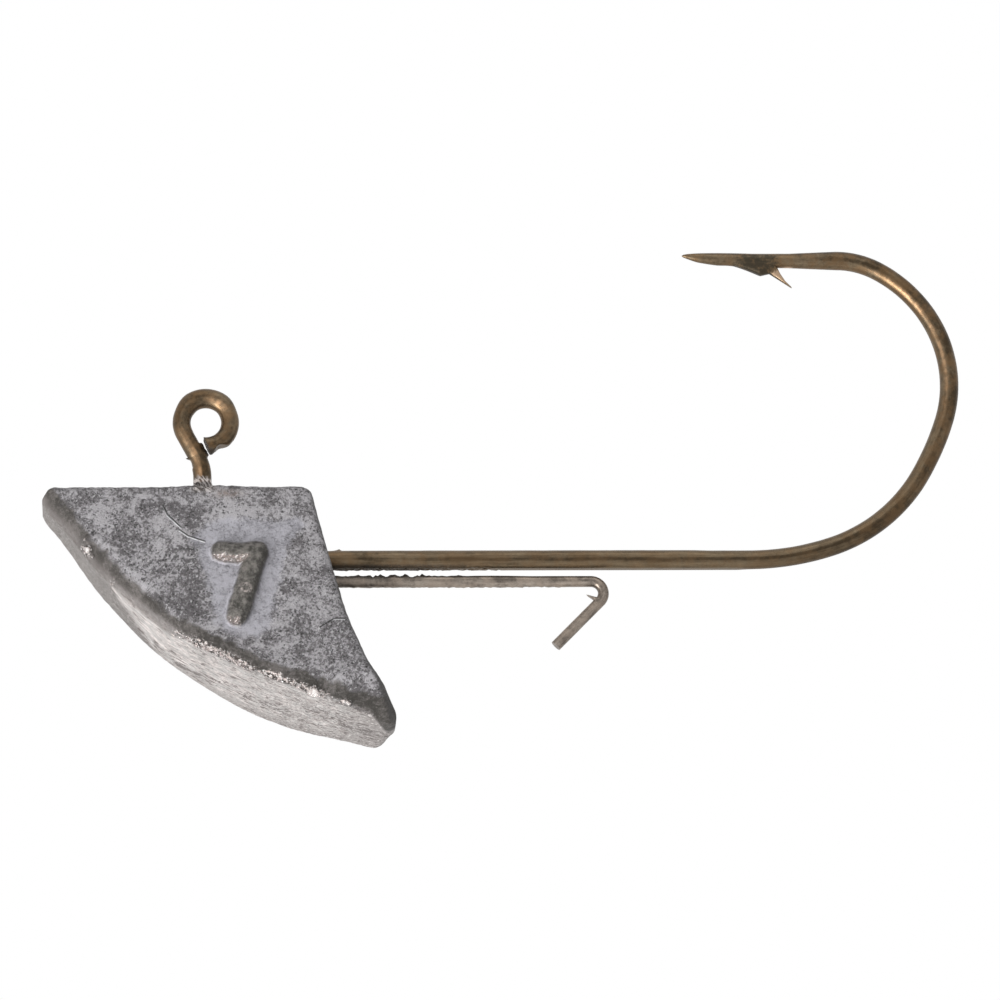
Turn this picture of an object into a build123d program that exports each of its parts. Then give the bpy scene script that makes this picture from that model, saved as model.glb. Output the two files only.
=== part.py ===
from build123d import *
import math
import os

# Jig head for soft baits: a wedge of lead cast around a bronzed wire hook and a thin bait keeper wire.
# Millimetres. The centre of the line eye is the origin and the hook lies in the plane Y = 0.
# +X runs along the shank towards the bend, +Z points from the shank to the eye and the hook point.

# hook wire
wire_d = 0.92
eye_wire_d = 0.86
eye_ring_r = 1.20        # to the middle of the wire
eye_bore_r = 0.79        # the land that the forming mandrel leaves inside the eye
eye_end_turn = -98       # degrees round the ring where the wire would end before its slanted cut
eye_gap = 0.15           # between the cut end and the wire that it closes on
eye_cut_length = 1.8     # the slanted cut, along the wire that leaves the eye
eye_cut_middle = 1.35    # from where that wire leaves the ring
stem_x = -0.16
knee_z = -2.26           # where the wire leaving the eye would meet the upright stem at a sharp corner
knee_r = 2.2

# shank and bend
shank_z = -7.05
elbow_r = 1.6            # the turn from stem to shank, inside the lead
stem_taper = 0.9         # length over which the stem grows to the full wire
shank_end_x = 26.5
bend_entry_r = 13.1
bend_entry_turn = 18.0   # degrees, as are the turns below
bend_low_r = 8.3
bend_low_turn = 40.7
bend_back_r = 14.4
bend_back_turn = 12.7
bend_top_r = 6.58
bend_top_turn = 80.0
bend_exit_r = 4.13
bend_exit_turn = 28.6

# spear and point
spear_d = 0.72
spear_taper = 2.4
spear_straight = 1.82
point_lift = 4.4         # degrees that the point turns outward from the spear
point_lift_r = 4.0
point_length = 3.0
point_flank_r = 0.22     # radius of the point a third of its length back from the tip
point_tip_r = 0.03
point_tip_slope = 0.55   # how fast the radius closes at the tip

# barb: a sliver cut from the underside of the point and bent away
barb_reach = 1.40        # from the middle of the spear out to the barb's tip
barb_back = 5.25         # from the hook's point back to the barb's tip
barb_length = 2.9
barb_throat = 0.95       # from the barb's tip forward to where its upper side meets the wire
barb_swell = 0.67        # how deep its lower side swells below the middle of the spear
barb_root_w = 0.60
barb_tip_w = 0.14
barb_root_rise = 0.10    # how far inside the wire's underside it starts
barb_root_slope = 0.15
barb_tip_slope = 0.95
barb_swell_at = 0.45     # share of its length from the root to the swell
barb_full_width = 0.6    # forward of the throat, where it starts to narrow

overlap = 0.1            # how far cutting and trimming shapes pass what they cut

# bait keeper
keeper_d = 0.54
keeper_gap = 0.36        # clear between the shank and the keeper
keeper_bend_x = 18.75
keeper_bend_r = 0.60
keeper_turn = 134.6      # degrees that the leg turns back under the wire
keeper_leg = 3.2
keeper_in_lead = 4.9     # straight wire from the rear of the lead to the anchor bend
anchor_r = 0.80
anchor_length = 1.0

# lead head, side outline
nose_x = -8.36
nose_z = -3.79
tail_x = 5.05
tail_z = -3.58
tail_lean = 13.3         # degrees of the upper rear edge from upright
tail_straight = 5.45
tail_curve_r = 25.0
tail_curve_turn = 18.2
keel_end_slope = 17.8    # degrees of the straight rear stretch of the keel
keel_nose_slope = 59.5
nose_corner_r = 0.50
tail_corner_r = 0.70
heel_corner_r = 0.50

# lead head, thickness across the hook's plane
nose_thickness = 3.40
tail_thickness = 2.30
heel_thickness = 9.20
lead_edge_r = 0.45
side_facing = 0.7        # share of a face's normal along Y that marks it as a side of the wedge

# lead drawn up the foot of the stem by the mould
collar_height = 0.55
collar_top_d = 1.02
collar_foot_d = 1.60

# raised weight figure, a seven
figure_x = 0.75
figure_drop = 3.68
figure_bar = 1.69
figure_slant = 1.01
figure_height = 3.55
figure_stroke = 1.02
figure_relief = 0.35


def flat(curve):
    """Moves a curve drawn in x and y to the hook's plane, where y becomes Z."""
    return Plane.XZ * curve


def direction(angle):
    return (math.cos(math.radians(angle)), math.sin(math.radians(angle)))


def tube(path, diameter):
    """A round wire along a chain of tangent edges."""
    start = path @ 0
    section = Plane(origin=start, z_dir=path % 0) * Circle(diameter / 2)
    return sweep(section, path=path)


def turning_path(start, heading, legs):
    """Edges from straight legs (length, None) and arcs (radius, turn), with the end point and heading."""
    edges = []
    point = start
    for size, turn in legs:
        x, y = direction(heading)
        if turn is None:
            end = (point[0] + size * x, point[1] + size * y)
            edges.append(Line(point, end))
        else:
            arc = JernArc(point, (x, y), size, turn)
            edges.append(arc)
            end = ((arc @ 1).X, (arc @ 1).Y)
            heading = heading + turn
        point = end
    return edges, point, heading


def wire_from(edges):
    return Wire([flat(edge) for edge in edges])


# ---- line eye and stem ----

knee_distance = math.hypot(stem_x, knee_z)
leave_angle = math.degrees(math.atan2(-knee_z, -stem_x) + math.asin(eye_ring_r / knee_distance))
leave_polar = leave_angle + 90
leave_point = tuple(eye_ring_r * c for c in direction(leave_polar))
knee_turn = leave_angle - 90
knee_cut = knee_r * math.tan(math.radians(knee_turn / 2))
leave_length = math.hypot(stem_x - leave_point[0], knee_z - leave_point[1]) - knee_cut
elbow_top_z = shank_z + elbow_r
taper_top_z = elbow_top_z + stem_taper


def line_eye():
    ring_start = tuple(eye_ring_r * c for c in direction(eye_end_turn))
    ring_arc, end, heading = turning_path(
        ring_start, eye_end_turn + 90, [(eye_ring_r, leave_polar - eye_end_turn)]
    )
    ring = tube(wire_from(ring_arc), eye_wire_d)
    side = (eye_wire_d / 2 + eye_gap) - eye_cut_length / 2
    along = direction(leave_angle + 180)
    across = direction(leave_angle - 90)
    cutter = Box(eye_cut_length, 3 * eye_wire_d, eye_cut_length)
    place = (
        leave_point[0] + eye_cut_middle * along[0] + side * across[0],
        0,
        leave_point[1] + eye_cut_middle * along[1] + side * across[1],
    )
    cutter = Pos(*place) * Rot(0, 90 - leave_angle, 0) * cutter
    return ring - cutter


def stem():
    legs = [(leave_length, None), (knee_r, -knee_turn)]
    edges, end, heading = turning_path(leave_point, leave_angle + 180, legs)
    edges.append(Line(end, (stem_x, taper_top_z)))
    upright = tube(wire_from(edges), eye_wire_d)
    taper = Cone(wire_d / 2, eye_wire_d / 2, stem_taper)
    return upright + Pos(stem_x, 0, elbow_top_z + stem_taper / 2) * taper


# ---- shank, bend, spear and point ----

def shank_and_bend():
    shank_length = shank_end_x - stem_x - elbow_r
    legs = [
        (elbow_r, 90),
        (shank_length, None),
        (bend_entry_r, bend_entry_turn),
        (bend_low_r, bend_low_turn),
        (bend_back_r, bend_back_turn),
        (bend_top_r, bend_top_turn),
        (bend_exit_r, bend_exit_turn),
    ]
    return turning_path((stem_x, elbow_top_z), -90, legs)


def along_wire(solid, point, heading):
    """Places a solid that is turned about its own Z so that +Z follows the wire."""
    x, z = direction(heading)
    return Plane(origin=(point[0], 0, point[1]), z_dir=(x, 0, z), x_dir=(0, 1, 0)) * solid


def hook_point():
    third = point_length / 3
    outline = [
        Line((0, 0), (spear_d / 2, 0)),
        Spline(
            (spear_d / 2, 0),
            (point_flank_r, point_length - third),
            (point_tip_r, point_length),
            tangents=[(0, 1), (-point_tip_slope, 1)],
        ),
        Line((point_tip_r, point_length), (0, point_length)),
        Line((0, point_length), (0, 0)),
    ]
    half = Plane.XZ * make_face(outline)
    return revolve(half, Axis.Z, 360)


def barb(tip_x, spear_z):
    """The sliver: its side outline and its plan meet in one wedge."""
    back_x = tip_x + barb_back
    low = spear_z - barb_reach
    root_x = back_x - barb_length
    throat_x = back_x - barb_throat
    inside_z = spear_z - spear_d / 4
    root_z = spear_z - spear_d / 2 + barb_root_rise
    side_edges = [
        Spline(
            (root_x, root_z),
            (root_x + barb_swell_at * barb_length, spear_z - barb_swell),
            (back_x, low),
            tangents=[(1, -barb_root_slope), (1, -barb_tip_slope)],
        ),
        Line((back_x, low), (throat_x, inside_z)),
        Line((throat_x, inside_z), (root_x, inside_z)),
        Line((root_x, inside_z), (root_x, root_z)),
    ]
    side_view = Plane.XZ * make_face(side_edges)
    side_solid = extrude(side_view, barb_root_w, both=True)
    narrow_x = throat_x - barb_full_width
    plan = Polyline(
        (root_x - overlap, barb_root_w / 2),
        (narrow_x, barb_root_w / 2),
        (back_x + overlap, barb_tip_w / 2),
        (back_x + overlap, -barb_tip_w / 2),
        (narrow_x, -barb_root_w / 2),
        (root_x - overlap, -barb_root_w / 2),
        close=True,
    )
    plan_solid = Pos(0, 0, low - overlap) * extrude(make_face(plan), barb_reach + overlap)
    return side_solid & plan_solid


def build_hook():
    edges, bend_end, heading = shank_and_bend()
    body = tube(wire_from(edges), wire_d)
    narrowing = Cone(wire_d / 2, spear_d / 2, spear_taper)
    narrowing = along_wire(Pos(0, 0, spear_taper / 2) * narrowing, bend_end, heading)
    spear_start = (bend_end[0] - spear_taper, bend_end[1])
    legs = [(spear_straight, None), (point_lift_r, -point_lift)]
    spear_edges, spear_end, point_heading = turning_path(spear_start, heading, legs)
    spear = tube(wire_from(spear_edges), spear_d)
    tip = along_wire(hook_point(), spear_end, point_heading)
    tip_x = spear_end[0] + point_length * direction(point_heading)[0]
    eye = line_eye() + stem()
    bore = Rot(90, 0, 0) * Cylinder(eye_bore_r, 3 * eye_wire_d)
    eye = eye - bore
    hook = eye + body + narrowing + spear + tip + barb(tip_x, bend_end[1])
    return hook


# ---- bait keeper ----

def build_keeper(rear_x):
    keeper_z = shank_z - (wire_d + keeper_d) / 2 - keeper_gap
    anchor_x = rear_x - keeper_in_lead
    legs = [
        (anchor_length, None),
        (anchor_r, -90),
        (keeper_bend_x - anchor_x, None),
        (keeper_bend_r, -keeper_turn),
        (keeper_leg, None),
    ]
    start = (anchor_x - anchor_r, keeper_z - anchor_r - anchor_length)
    edges, end, heading = turning_path(start, 90, legs)
    return tube(wire_from(edges), keeper_d)


# ---- lead head ----

tail_straight_x = tail_x + tail_straight * math.sin(math.radians(tail_lean))
tail_straight_z = tail_z - tail_straight * math.cos(math.radians(tail_lean))
top_slope = (tail_z - nose_z) / (tail_x - nose_x)
stem_foot_z = nose_z + top_slope * (stem_x - nose_x)


def head_outline():
    """The side outline: straight top, concave rear edge, and a keel of one straight and one long curve."""
    tail_curve = JernArc(
        (tail_straight_x, tail_straight_z),
        direction(tail_lean - 90),
        tail_curve_r,
        tail_curve_turn,
    )
    heel = tail_curve @ 1
    keel_turn = keel_nose_slope - keel_end_slope
    nose = (nose_x, nose_z)
    back_slope = direction(180 - keel_end_slope)
    # the curve's chord has the mean slope, and the straight stretch runs from the heel to where that chord starts
    chord = direction(180 - (keel_nose_slope + keel_end_slope) / 2)
    reach = (nose[0] - heel.X, nose[1] - heel.Y)
    cross = back_slope[0] * chord[1] - back_slope[1] * chord[0]
    straight = (reach[0] * chord[1] - reach[1] * chord[0]) / cross
    chord_length = (back_slope[0] * reach[1] - back_slope[1] * reach[0]) / cross
    keel_r = chord_length / (2 * math.sin(math.radians(keel_turn / 2)))
    keel_start = (heel.X + straight * back_slope[0], heel.Y + straight * back_slope[1])
    keel_curve = JernArc(keel_start, back_slope, keel_r, -keel_turn)
    edges = [
        Line(nose, (tail_x, tail_z)),
        Line((tail_x, tail_z), (tail_straight_x, tail_straight_z)),
        tail_curve,
        Line((heel.X, heel.Y), keel_start),
        keel_curve,
    ]
    return make_face(edges), (heel.X, heel.Y)


def near(vertex, point):
    return math.hypot(vertex.X - point[0], vertex.Y - point[1]) < 0.01


def side_slopes(heel):
    """How much half the thickness grows per millimetre down, and shrinks per millimetre towards the rear."""
    # half thickness = top_half + downward * depth below nose_z - rearward * x, through the three corners
    corners = (
        (nose_x, nose_z, nose_thickness / 2),
        (tail_x, tail_z, tail_thickness / 2),
        (heel[0], heel[1], heel_thickness / 2),
    )
    (x1, z1, h1), (x2, z2, h2), (x3, z3, h3) = corners
    span = (x2 - x1) * (z3 - z1) - (x3 - x1) * (z2 - z1)
    rearward = -((h2 - h1) * (z3 - z1) - (h3 - h1) * (z2 - z1)) / span
    downward = -((x2 - x1) * (h3 - h1) - (x3 - x1) * (h2 - h1)) / span
    top_half = h1 + rearward * x1
    return downward, rearward, top_half


def side_plane(side, heel):
    """The flat side of the wedge on -Y (side = -1) or +Y (side = 1), facing outward."""
    downward, rearward, top_half = side_slopes(heel)
    normal = Vector(rearward, side, downward)
    along = Vector(1, -side * rearward, 0)
    return Plane(origin=(0, side * top_half, nose_z), x_dir=along, z_dir=normal)


def figure_seven(plane):
    """Two round strokes sunk in the side so that they stand out by the relief."""
    stroke_r = (figure_stroke**2 / 4 + figure_relief**2) / (2 * figure_relief)
    depth = stroke_r - figure_relief
    bar_start = Vector(figure_x, -figure_drop, -depth)
    corner = Vector(figure_x + figure_bar, -figure_drop, -depth)
    foot = Vector(figure_x + figure_bar - figure_slant, -figure_drop - figure_height, -depth)
    figure = None
    for start, end in ((bar_start, corner), (corner, foot)):
        axis = Plane(origin=start, z_dir=end - start)
        length = (end - start).length
        stroke = axis * Pos(0, 0, length / 2) * Cylinder(stroke_r, length)
        stroke = stroke + Pos(start) * Sphere(stroke_r) + Pos(end) * Sphere(stroke_r)
        figure = stroke if figure is None else figure + stroke
    return plane * figure


def build_head():
    outline, heel = head_outline()
    corners = [
        ((nose_x, nose_z), nose_corner_r),
        ((tail_x, tail_z), tail_corner_r),
        (heel, heel_corner_r),
    ]
    for point, radius in corners:
        vertex = [v for v in outline.vertices() if near(v, point)]
        outline = fillet(vertex, radius)
    block = extrude(Plane.XZ * outline, heel_thickness, both=True)
    for side in (-1, 1):
        block = split(block, bisect_by=side_plane(side, heel), keep=Keep.BOTTOM)
    sides = [f for f in block.faces() if abs(f.normal_at().Y) > side_facing]
    rims = [edge for face in sides for edge in face.edges()]
    block = fillet(rims, lead_edge_r)
    collar = Cone(collar_foot_d / 2, collar_top_d / 2, collar_height + lead_edge_r)
    block = block + Pos(stem_x, 0, stem_foot_z + (collar_height - lead_edge_r) / 2) * collar
    return block + figure_seven(side_plane(-1, heel))


hook = build_hook()
keeper = build_keeper(tail_straight_x)
lead = build_head() - hook - keeper

os.makedirs("parts", exist_ok=True)
export_step(hook, "parts/jig_hook.step")
export_step(keeper, "parts/bait_keeper.step")
export_step(lead, "parts/lead_head.step")

for name, solid in (("jig_hook", hook), ("bait_keeper", keeper), ("lead_head", lead)):
    box = solid.bounding_box()
    spans = f"X {box.min.X:.2f} to {box.max.X:.2f}, Z {box.min.Z:.2f} to {box.max.Z:.2f}"
    print(f"{name}: {solid.volume:.2f} mm3, {spans}")
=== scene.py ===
import bpy
import bmesh
import math
import numpy as np
from mathutils import Matrix, Vector, noise
from mathutils.kdtree import KDTree


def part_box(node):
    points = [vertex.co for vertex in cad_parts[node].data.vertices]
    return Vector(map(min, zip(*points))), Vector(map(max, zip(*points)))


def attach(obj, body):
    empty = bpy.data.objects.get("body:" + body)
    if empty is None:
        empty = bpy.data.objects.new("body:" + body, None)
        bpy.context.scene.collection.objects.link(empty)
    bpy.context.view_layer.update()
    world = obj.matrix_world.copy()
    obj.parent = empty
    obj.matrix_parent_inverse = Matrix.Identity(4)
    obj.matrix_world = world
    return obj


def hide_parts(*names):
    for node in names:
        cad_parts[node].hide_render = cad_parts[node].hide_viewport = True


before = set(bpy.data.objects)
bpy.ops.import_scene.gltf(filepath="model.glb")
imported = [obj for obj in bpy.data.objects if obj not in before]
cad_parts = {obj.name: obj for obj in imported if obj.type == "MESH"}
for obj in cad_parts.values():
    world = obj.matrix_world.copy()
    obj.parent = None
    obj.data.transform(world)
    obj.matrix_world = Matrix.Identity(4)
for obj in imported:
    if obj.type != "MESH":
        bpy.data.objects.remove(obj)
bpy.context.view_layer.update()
metre = 0.001  # the meshes are made in millimetres and brought to metres at the end
farAway = 99.0  # stands for a distance past everything
flat = np.array([1.0, 0.0, 1.0])  # drops Y
wireRim = math.radians(50.0)  # rim angle of the two wires


# small helpers for meshes

def fade(value, low, high):
    # 0 at low and 1 at high, smooth between; low may be the larger
    t = np.clip((value - low) / (high - low), 0.0, 1.0)
    return t * t * (3.0 - 2.0 * t)


def bell(value, middle, width):
    # 1 at the middle, falling away on both sides
    return np.exp(-((value - middle) / width) ** 2)


def spot(co, x, z, reachX, reachZ):
    # a soft spot of the X-Z plane
    return bell(co[:, 0], x, reachX) * bell(co[:, 2], z, reachZ)


def turnFrom(angles, middle):
    # degrees from the middle, between -180 and 180
    return (angles - middle + 180.0) % 360.0 - 180.0


def headed(degrees):
    # unit direction in the X-Z plane, from +X towards +Z
    return Vector((math.cos(math.radians(degrees)), 0.0, math.sin(math.radians(degrees))))


def noiseAt(points, scale, seed, octaves=3):
    shift = Vector((seed * 7.3, seed * 3.1, seed * 5.7))
    return np.array([noise.fractal(Vector(p) * scale + shift, 0.6, 2.1, octaves) for p in points])


def treeOf(points):
    tree = KDTree(len(points))
    for n, place in enumerate(points):
        tree.insert(place, n)
    tree.balance()
    return tree


def meshArrays(mesh):
    # points, normals and edges
    co, normals = np.zeros(len(mesh.vertices) * 3), np.zeros(len(mesh.vertices) * 3)
    edges = np.zeros(len(mesh.edges) * 2, dtype=np.int64)
    mesh.vertices.foreach_get("co", co)
    mesh.vertices.foreach_get("normal", normals)
    mesh.edges.foreach_get("vertices", edges)
    return co.reshape(-1, 3), normals.reshape(-1, 3), edges.reshape(-1, 2)


def setPoints(mesh, co):
    mesh.vertices.foreach_set("co", co.ravel())
    mesh.update()


def pointData(mesh, **layers):
    # numbers or vectors kept at the mesh's points for its material
    for name, values in layers.items():
        values = np.asarray(values, dtype=np.float32)
        kind, key = ("FLOAT", "value") if values.ndim == 1 else ("FLOAT_VECTOR", "vector")
        mesh.attributes.new(name, kind, "POINT").data.foreach_set(key, values.ravel())


def meshFrom(bm, name):
    mesh = bpy.data.meshes.new(name)
    bm.to_mesh(mesh)
    bm.free()
    return mesh


def closedMesh(bm, name):
    bmesh.ops.recalc_face_normals(bm, faces=bm.faces)
    return meshFrom(bm, name)


def linked(name, data):
    made = bpy.data.objects.new(name, data)
    bpy.context.scene.collection.objects.link(made)
    return made


def applied(mesh, name, kind, **settings):
    # the mesh with one modifier applied
    piece = linked(name, mesh)
    modifier = piece.modifiers.new(name, kind)
    for key, value in settings.items():
        setattr(modifier, key, value)
    bpy.context.view_layer.update()
    made = bpy.data.meshes.new_from_object(piece.evaluated_get(bpy.context.evaluated_depsgraph_get()))
    bpy.data.objects.remove(piece)
    return made


def finishPiece(name, mesh, node, material, rimAngle=None):
    # edges sharper than the rim angle stay crisp
    mesh.transform(Matrix.Scale(metre, 4))
    mesh.polygons.foreach_set("use_smooth", [True] * len(mesh.polygons))
    if rimAngle is not None:
        mesh.set_sharp_from_angle(angle=rimAngle)
    mesh.materials.clear()
    mesh.materials.append(material)
    piece = linked(name, mesh)
    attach(piece, "root")
    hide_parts(node)


# small helpers for materials

class Graph:
    # short ways to add nodes to one tree

    def __init__(self, tree):
        self.tree = tree

    def connect(self, node, links):
        for key, value in links.items():
            if isinstance(value, bpy.types.NodeSocket):
                self.tree.links.new(value, node.inputs[key])
            else:
                node.inputs[key].default_value = value

    def add(self, kind, links=None, **settings):
        node = self.tree.nodes.new(kind)
        for key, value in settings.items():
            setattr(node, key, value)
        self.connect(node, links or {})
        return node

    def calc(self, operation, *values):
        return self.add("ShaderNodeMath", dict(enumerate(values)), operation=operation).outputs[0]

    def times(self, a, b):
        return self.calc("MULTIPLY", a, b)

    def grown(self, value, factor, base):
        # base plus the value times the factor
        return self.calc("MULTIPLY_ADD", value, factor, base)

    def centred(self, value, factor, base):
        # base plus the value's swing about its middle, times the factor
        return self.grown(self.calc("SUBTRACT", value, 0.5), factor, base)

    def highest(self, values):
        made = values[0]
        for value in values[1:]:
            made = self.calc("MAXIMUM", made, value)
        return made

    def step(self, value, low, high):
        # 0 at low and 1 at high, smooth between; low may be the larger
        links = {"Value": value, "From Min": low, "From Max": high}
        return self.add("ShaderNodeMapRange", links, interpolation_type="SMOOTHSTEP").outputs[0]

    def blend(self, amount, first, second):
        links = {0: amount, 6: first, 7: second}
        return self.add("ShaderNodeMix", links, data_type="RGBA", clamp_factor=True).outputs[2]

    def layered(self, colour, layers):
        # layers of (mask, strength, colour), each laid over the ones before
        for mask, strength, over in layers:
            colour = self.blend(self.times(mask, strength), colour, over)
        return colour

    def vectorCalc(self, operation, links, output=0):
        return self.add("ShaderNodeVectorMath", links, operation=operation).outputs[output]

    def split(self, vector):
        return self.add("ShaderNodeSeparateXYZ", {0: vector}).outputs[:3]

    def attribute(self, name, output="Fac"):
        return self.add("ShaderNodeAttribute", attribute_name=name).outputs[output]

    def group(self, tree, links):
        return self.add("ShaderNodeGroup", links, node_tree=tree).outputs

    def noise(self, vector, scale, detail, roughness, distortion=0.0):
        links = {"Vector": vector, "Scale": scale, "Detail": detail, "Roughness": roughness,
                 "Distortion": distortion}
        return self.add("ShaderNodeTexNoise", links).outputs["Fac"]

    def slanted(self, vector, degrees, long):
        # the vector's space, drawn out along one slant of the X-Z plane
        links = {"Vector": vector, "Rotation": (0.0, math.radians(-degrees), 0.0), "Scale": (long, 1.0, 1.0)}
        return self.add("ShaderNodeMapping", links, vector_type="TEXTURE").outputs[0]

    def drawnOut(self, vector, share):
        # the vector's space, drawn out along its first axis
        return self.add("ShaderNodeMapping", {"Vector": vector, "Scale": (share, 1.0, 1.0)}).outputs[0]

    def toolStrokes(self, place):
        # strokes of a tool across the foot of the stem, on the wire and on the lead
        strokes = self.noise(self.slanted(place, -56.0, 6.0), 12.0, 2.0, 0.6)
        return self.step(strokes, 0.42, 0.58)

    def bumps(self, shader, layers):
        # layers of (height in millimetres, strength), each laid over the ones before
        links = {}
        for height, strength in layers:
            links.update({"Height": height, "Distance": metre, "Strength": strength})
            links["Normal"] = self.add("ShaderNodeBump", links).outputs[0]
        self.connect(shader, {"Normal": links["Normal"]})


def newMaterial(name):
    material = bpy.data.materials.new(name)
    material.use_nodes = True
    graph = Graph(material.node_tree)
    place = graph.add("ShaderNodeTexCoord").outputs["Object"]
    millimetres = graph.vectorCalc("SCALE", {0: place, "Scale": 1.0 / metre})
    return material, graph, material.node_tree.nodes["Principled BSDF"], millimetres


# shared effects

def newGroup(name, inputs, outputs):
    # inputs by name with their values, None for a vector; every output is a number
    tree = bpy.data.node_groups.new(name, "ShaderNodeTree")
    for label, value in inputs.items():
        kind = "NodeSocketVector" if value is None else "NodeSocketFloat"
        socket = tree.interface.new_socket(label, in_out="INPUT", socket_type=kind)
        if value is not None:
            socket.default_value = value
    for label in outputs:
        tree.interface.new_socket(label, in_out="OUTPUT", socket_type="NodeSocketFloat")
    start = tree.nodes.new("NodeGroupInput")
    return Graph(tree), start.outputs[:len(inputs)], tree.nodes.new("NodeGroupOutput")


def makePitGroup():
    # round pits of mixed size, as heights and as a mask
    graph, inputs, end = newGroup("castPits", {"Vector": None, "Scale": 3.0, "Amount": 0.5},
                                  ["Mask", "Height"])
    vector, scale, amount = inputs
    links = {"Vector": vector, "Scale": scale, "Randomness": 1.0}
    cells = graph.add("ShaderNodeTexVoronoi", links, feature="F1")
    chance = graph.add("ShaderNodeSeparateColor", {0: cells.outputs["Color"]}).outputs
    radius = graph.times(chance[0], 0.32)
    inside = graph.calc("SUBTRACT", radius, cells.outputs["Distance"])
    mask = graph.times(graph.step(inside, 0.0, 0.10), graph.calc("LESS_THAN", chance[1], amount))
    graph.connect(end, {"Mask": mask, "Height": graph.times(mask, -1.0)})
    return graph.tree


def makeMottleGroup():
    # cloudy patches broken up by finer ones
    graph, inputs, end = newGroup("patchyMottle", {"Vector": None, "Scale": 0.5, "Break Up": 0.4},
                                  ["Raw", "Patches", "Grain"])
    vector, scale, breakUp = inputs
    large = graph.noise(vector, scale, 5.0, 0.62, 0.6)
    finer = graph.noise(vector, graph.times(scale, 6.0), 6.0, 0.7, 0.3)
    raw = graph.calc("ADD", large, graph.times(graph.calc("SUBTRACT", finer, 0.5), breakUp))
    grain = graph.noise(vector, graph.times(scale, 22.0), 3.0, 0.7)
    graph.connect(end, {"Raw": raw, "Patches": graph.step(raw, 0.38, 0.62), "Grain": grain})
    return graph.tree


def makeStreakGroup():
    # fine lines along the vector's first axis
    graph, inputs, end = newGroup("drawnStreaks", {"Vector": None, "Stretch": 0.05, "Scale": 6.0}, ["Height"])
    vector, stretch, scale = inputs
    along, beside, across = graph.split(vector)
    drawn = graph.add("ShaderNodeCombineXYZ", {0: graph.times(along, stretch), 1: beside, 2: across})
    lines = graph.noise(drawn.outputs[0], scale, 5.0, 0.65)
    graph.connect(end, {"Height": graph.calc("SUBTRACT", lines, 0.5)})
    return graph.tree


def makeHairlineGroup():
    # one thin scored line between two points of the X-Z plane, with a light lip under it
    graph, inputs, end = newGroup("hairline", {"Vector": None, "Start": None, "End": None, "Width": 0.04},
                                  ["Dark", "Light"])
    vector, lineStart, lineEnd, width = inputs
    lipShift = (0.03, 0.0, 0.06)
    origin, run, reach = (graph.vectorCalc("MULTIPLY", {0: socket, 1: tuple(flat)})
                          for socket in (lineStart, lineEnd, vector))
    run, reach = (graph.vectorCalc("SUBTRACT", {0: place, 1: origin}) for place in (run, reach))
    share = graph.calc("DIVIDE", graph.vectorCalc("DOT_PRODUCT", {0: reach, 1: run}, "Value"),
                       graph.vectorCalc("DOT_PRODUCT", {0: run, 1: run}, "Value"))
    share = graph.calc("MINIMUM", graph.calc("MAXIMUM", share, 0.0), 1.0)
    nearest = graph.vectorCalc("SCALE", {0: run, "Scale": share})
    lowered = graph.vectorCalc("ADD", {0: reach, 1: lipShift})
    thin = graph.times(width, 0.4)
    for label, place in (("Dark", reach), ("Light", lowered)):
        gap = graph.vectorCalc("LENGTH", {0: graph.vectorCalc("SUBTRACT", {0: place, 1: nearest})}, "Value")
        graph.connect(end, {label: graph.step(gap, width, thin)})
    return graph.tree


pitGroup = makePitGroup()
mottleGroup = makeMottleGroup()
streakGroup = makeStreakGroup()
hairlineGroup = makeHairlineGroup()


# wires: one ring of edges swept leg by leg with spin, then each ring is sized

def sweepWire(startPoint, startHeading, legs, radius, sides):
    # a leg is (length, 0, spacing) or (bend radius, turn in degrees, spacing)
    bm = bmesh.new()
    across = Matrix.Translation((startPoint[0], 0.0, startPoint[1]))
    across = across @ Matrix.Rotation(math.pi / 2 - math.radians(startHeading), 4, "Y")
    bmesh.ops.create_circle(bm, segments=sides, radius=radius, matrix=across)
    edges = list(bm.edges)
    rings = [(startPoint, startHeading, 0.0)]
    point, heading, length = startPoint, startHeading, 0.0
    for size, turn, spacing in legs:
        ahead = (math.cos(math.radians(heading)), math.sin(math.radians(heading)))
        if turn == 0.0:
            steps = max(1, round(size / spacing))
            step = size / steps
            move = Vector((ahead[0] * step, 0.0, ahead[1] * step))
            made = bmesh.ops.spin(bm, geom=edges, cent=(0, 0, 0), axis=(0, 1, 0), dvec=move,
                                  angle=0.0, steps=steps)
            for n in range(1, steps + 1):
                place = (point[0] + ahead[0] * step * n, point[1] + ahead[1] * step * n)
                rings.append((place, heading, length + step * n))
            point = (point[0] + ahead[0] * size, point[1] + ahead[1] * size)
            length += size
        else:
            side = 1.0 if turn > 0 else -1.0
            centre = (point[0] - ahead[1] * size * side, point[1] + ahead[0] * size * side)
            arc = size * math.radians(abs(turn))
            steps = max(2, round(arc / spacing))
            made = bmesh.ops.spin(bm, geom=edges, cent=(centre[0], 0.0, centre[1]), axis=(0.0, -side, 0.0),
                                  dvec=(0, 0, 0), angle=math.radians(abs(turn)), steps=steps)
            for n in range(1, steps + 1):
                angle = math.radians(turn) * n / steps
                dx, dz = point[0] - centre[0], point[1] - centre[1]
                place = (centre[0] + dx * math.cos(angle) - dz * math.sin(angle),
                         centre[1] + dx * math.sin(angle) + dz * math.cos(angle))
                rings.append((place, heading + math.degrees(angle), length + arc * n / steps))
            point = rings[-1][0]
            heading += turn
            length += arc
        edges = [g for g in made["geom_last"] if isinstance(g, bmesh.types.BMEdge)]
    return bm, rings, edges


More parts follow.
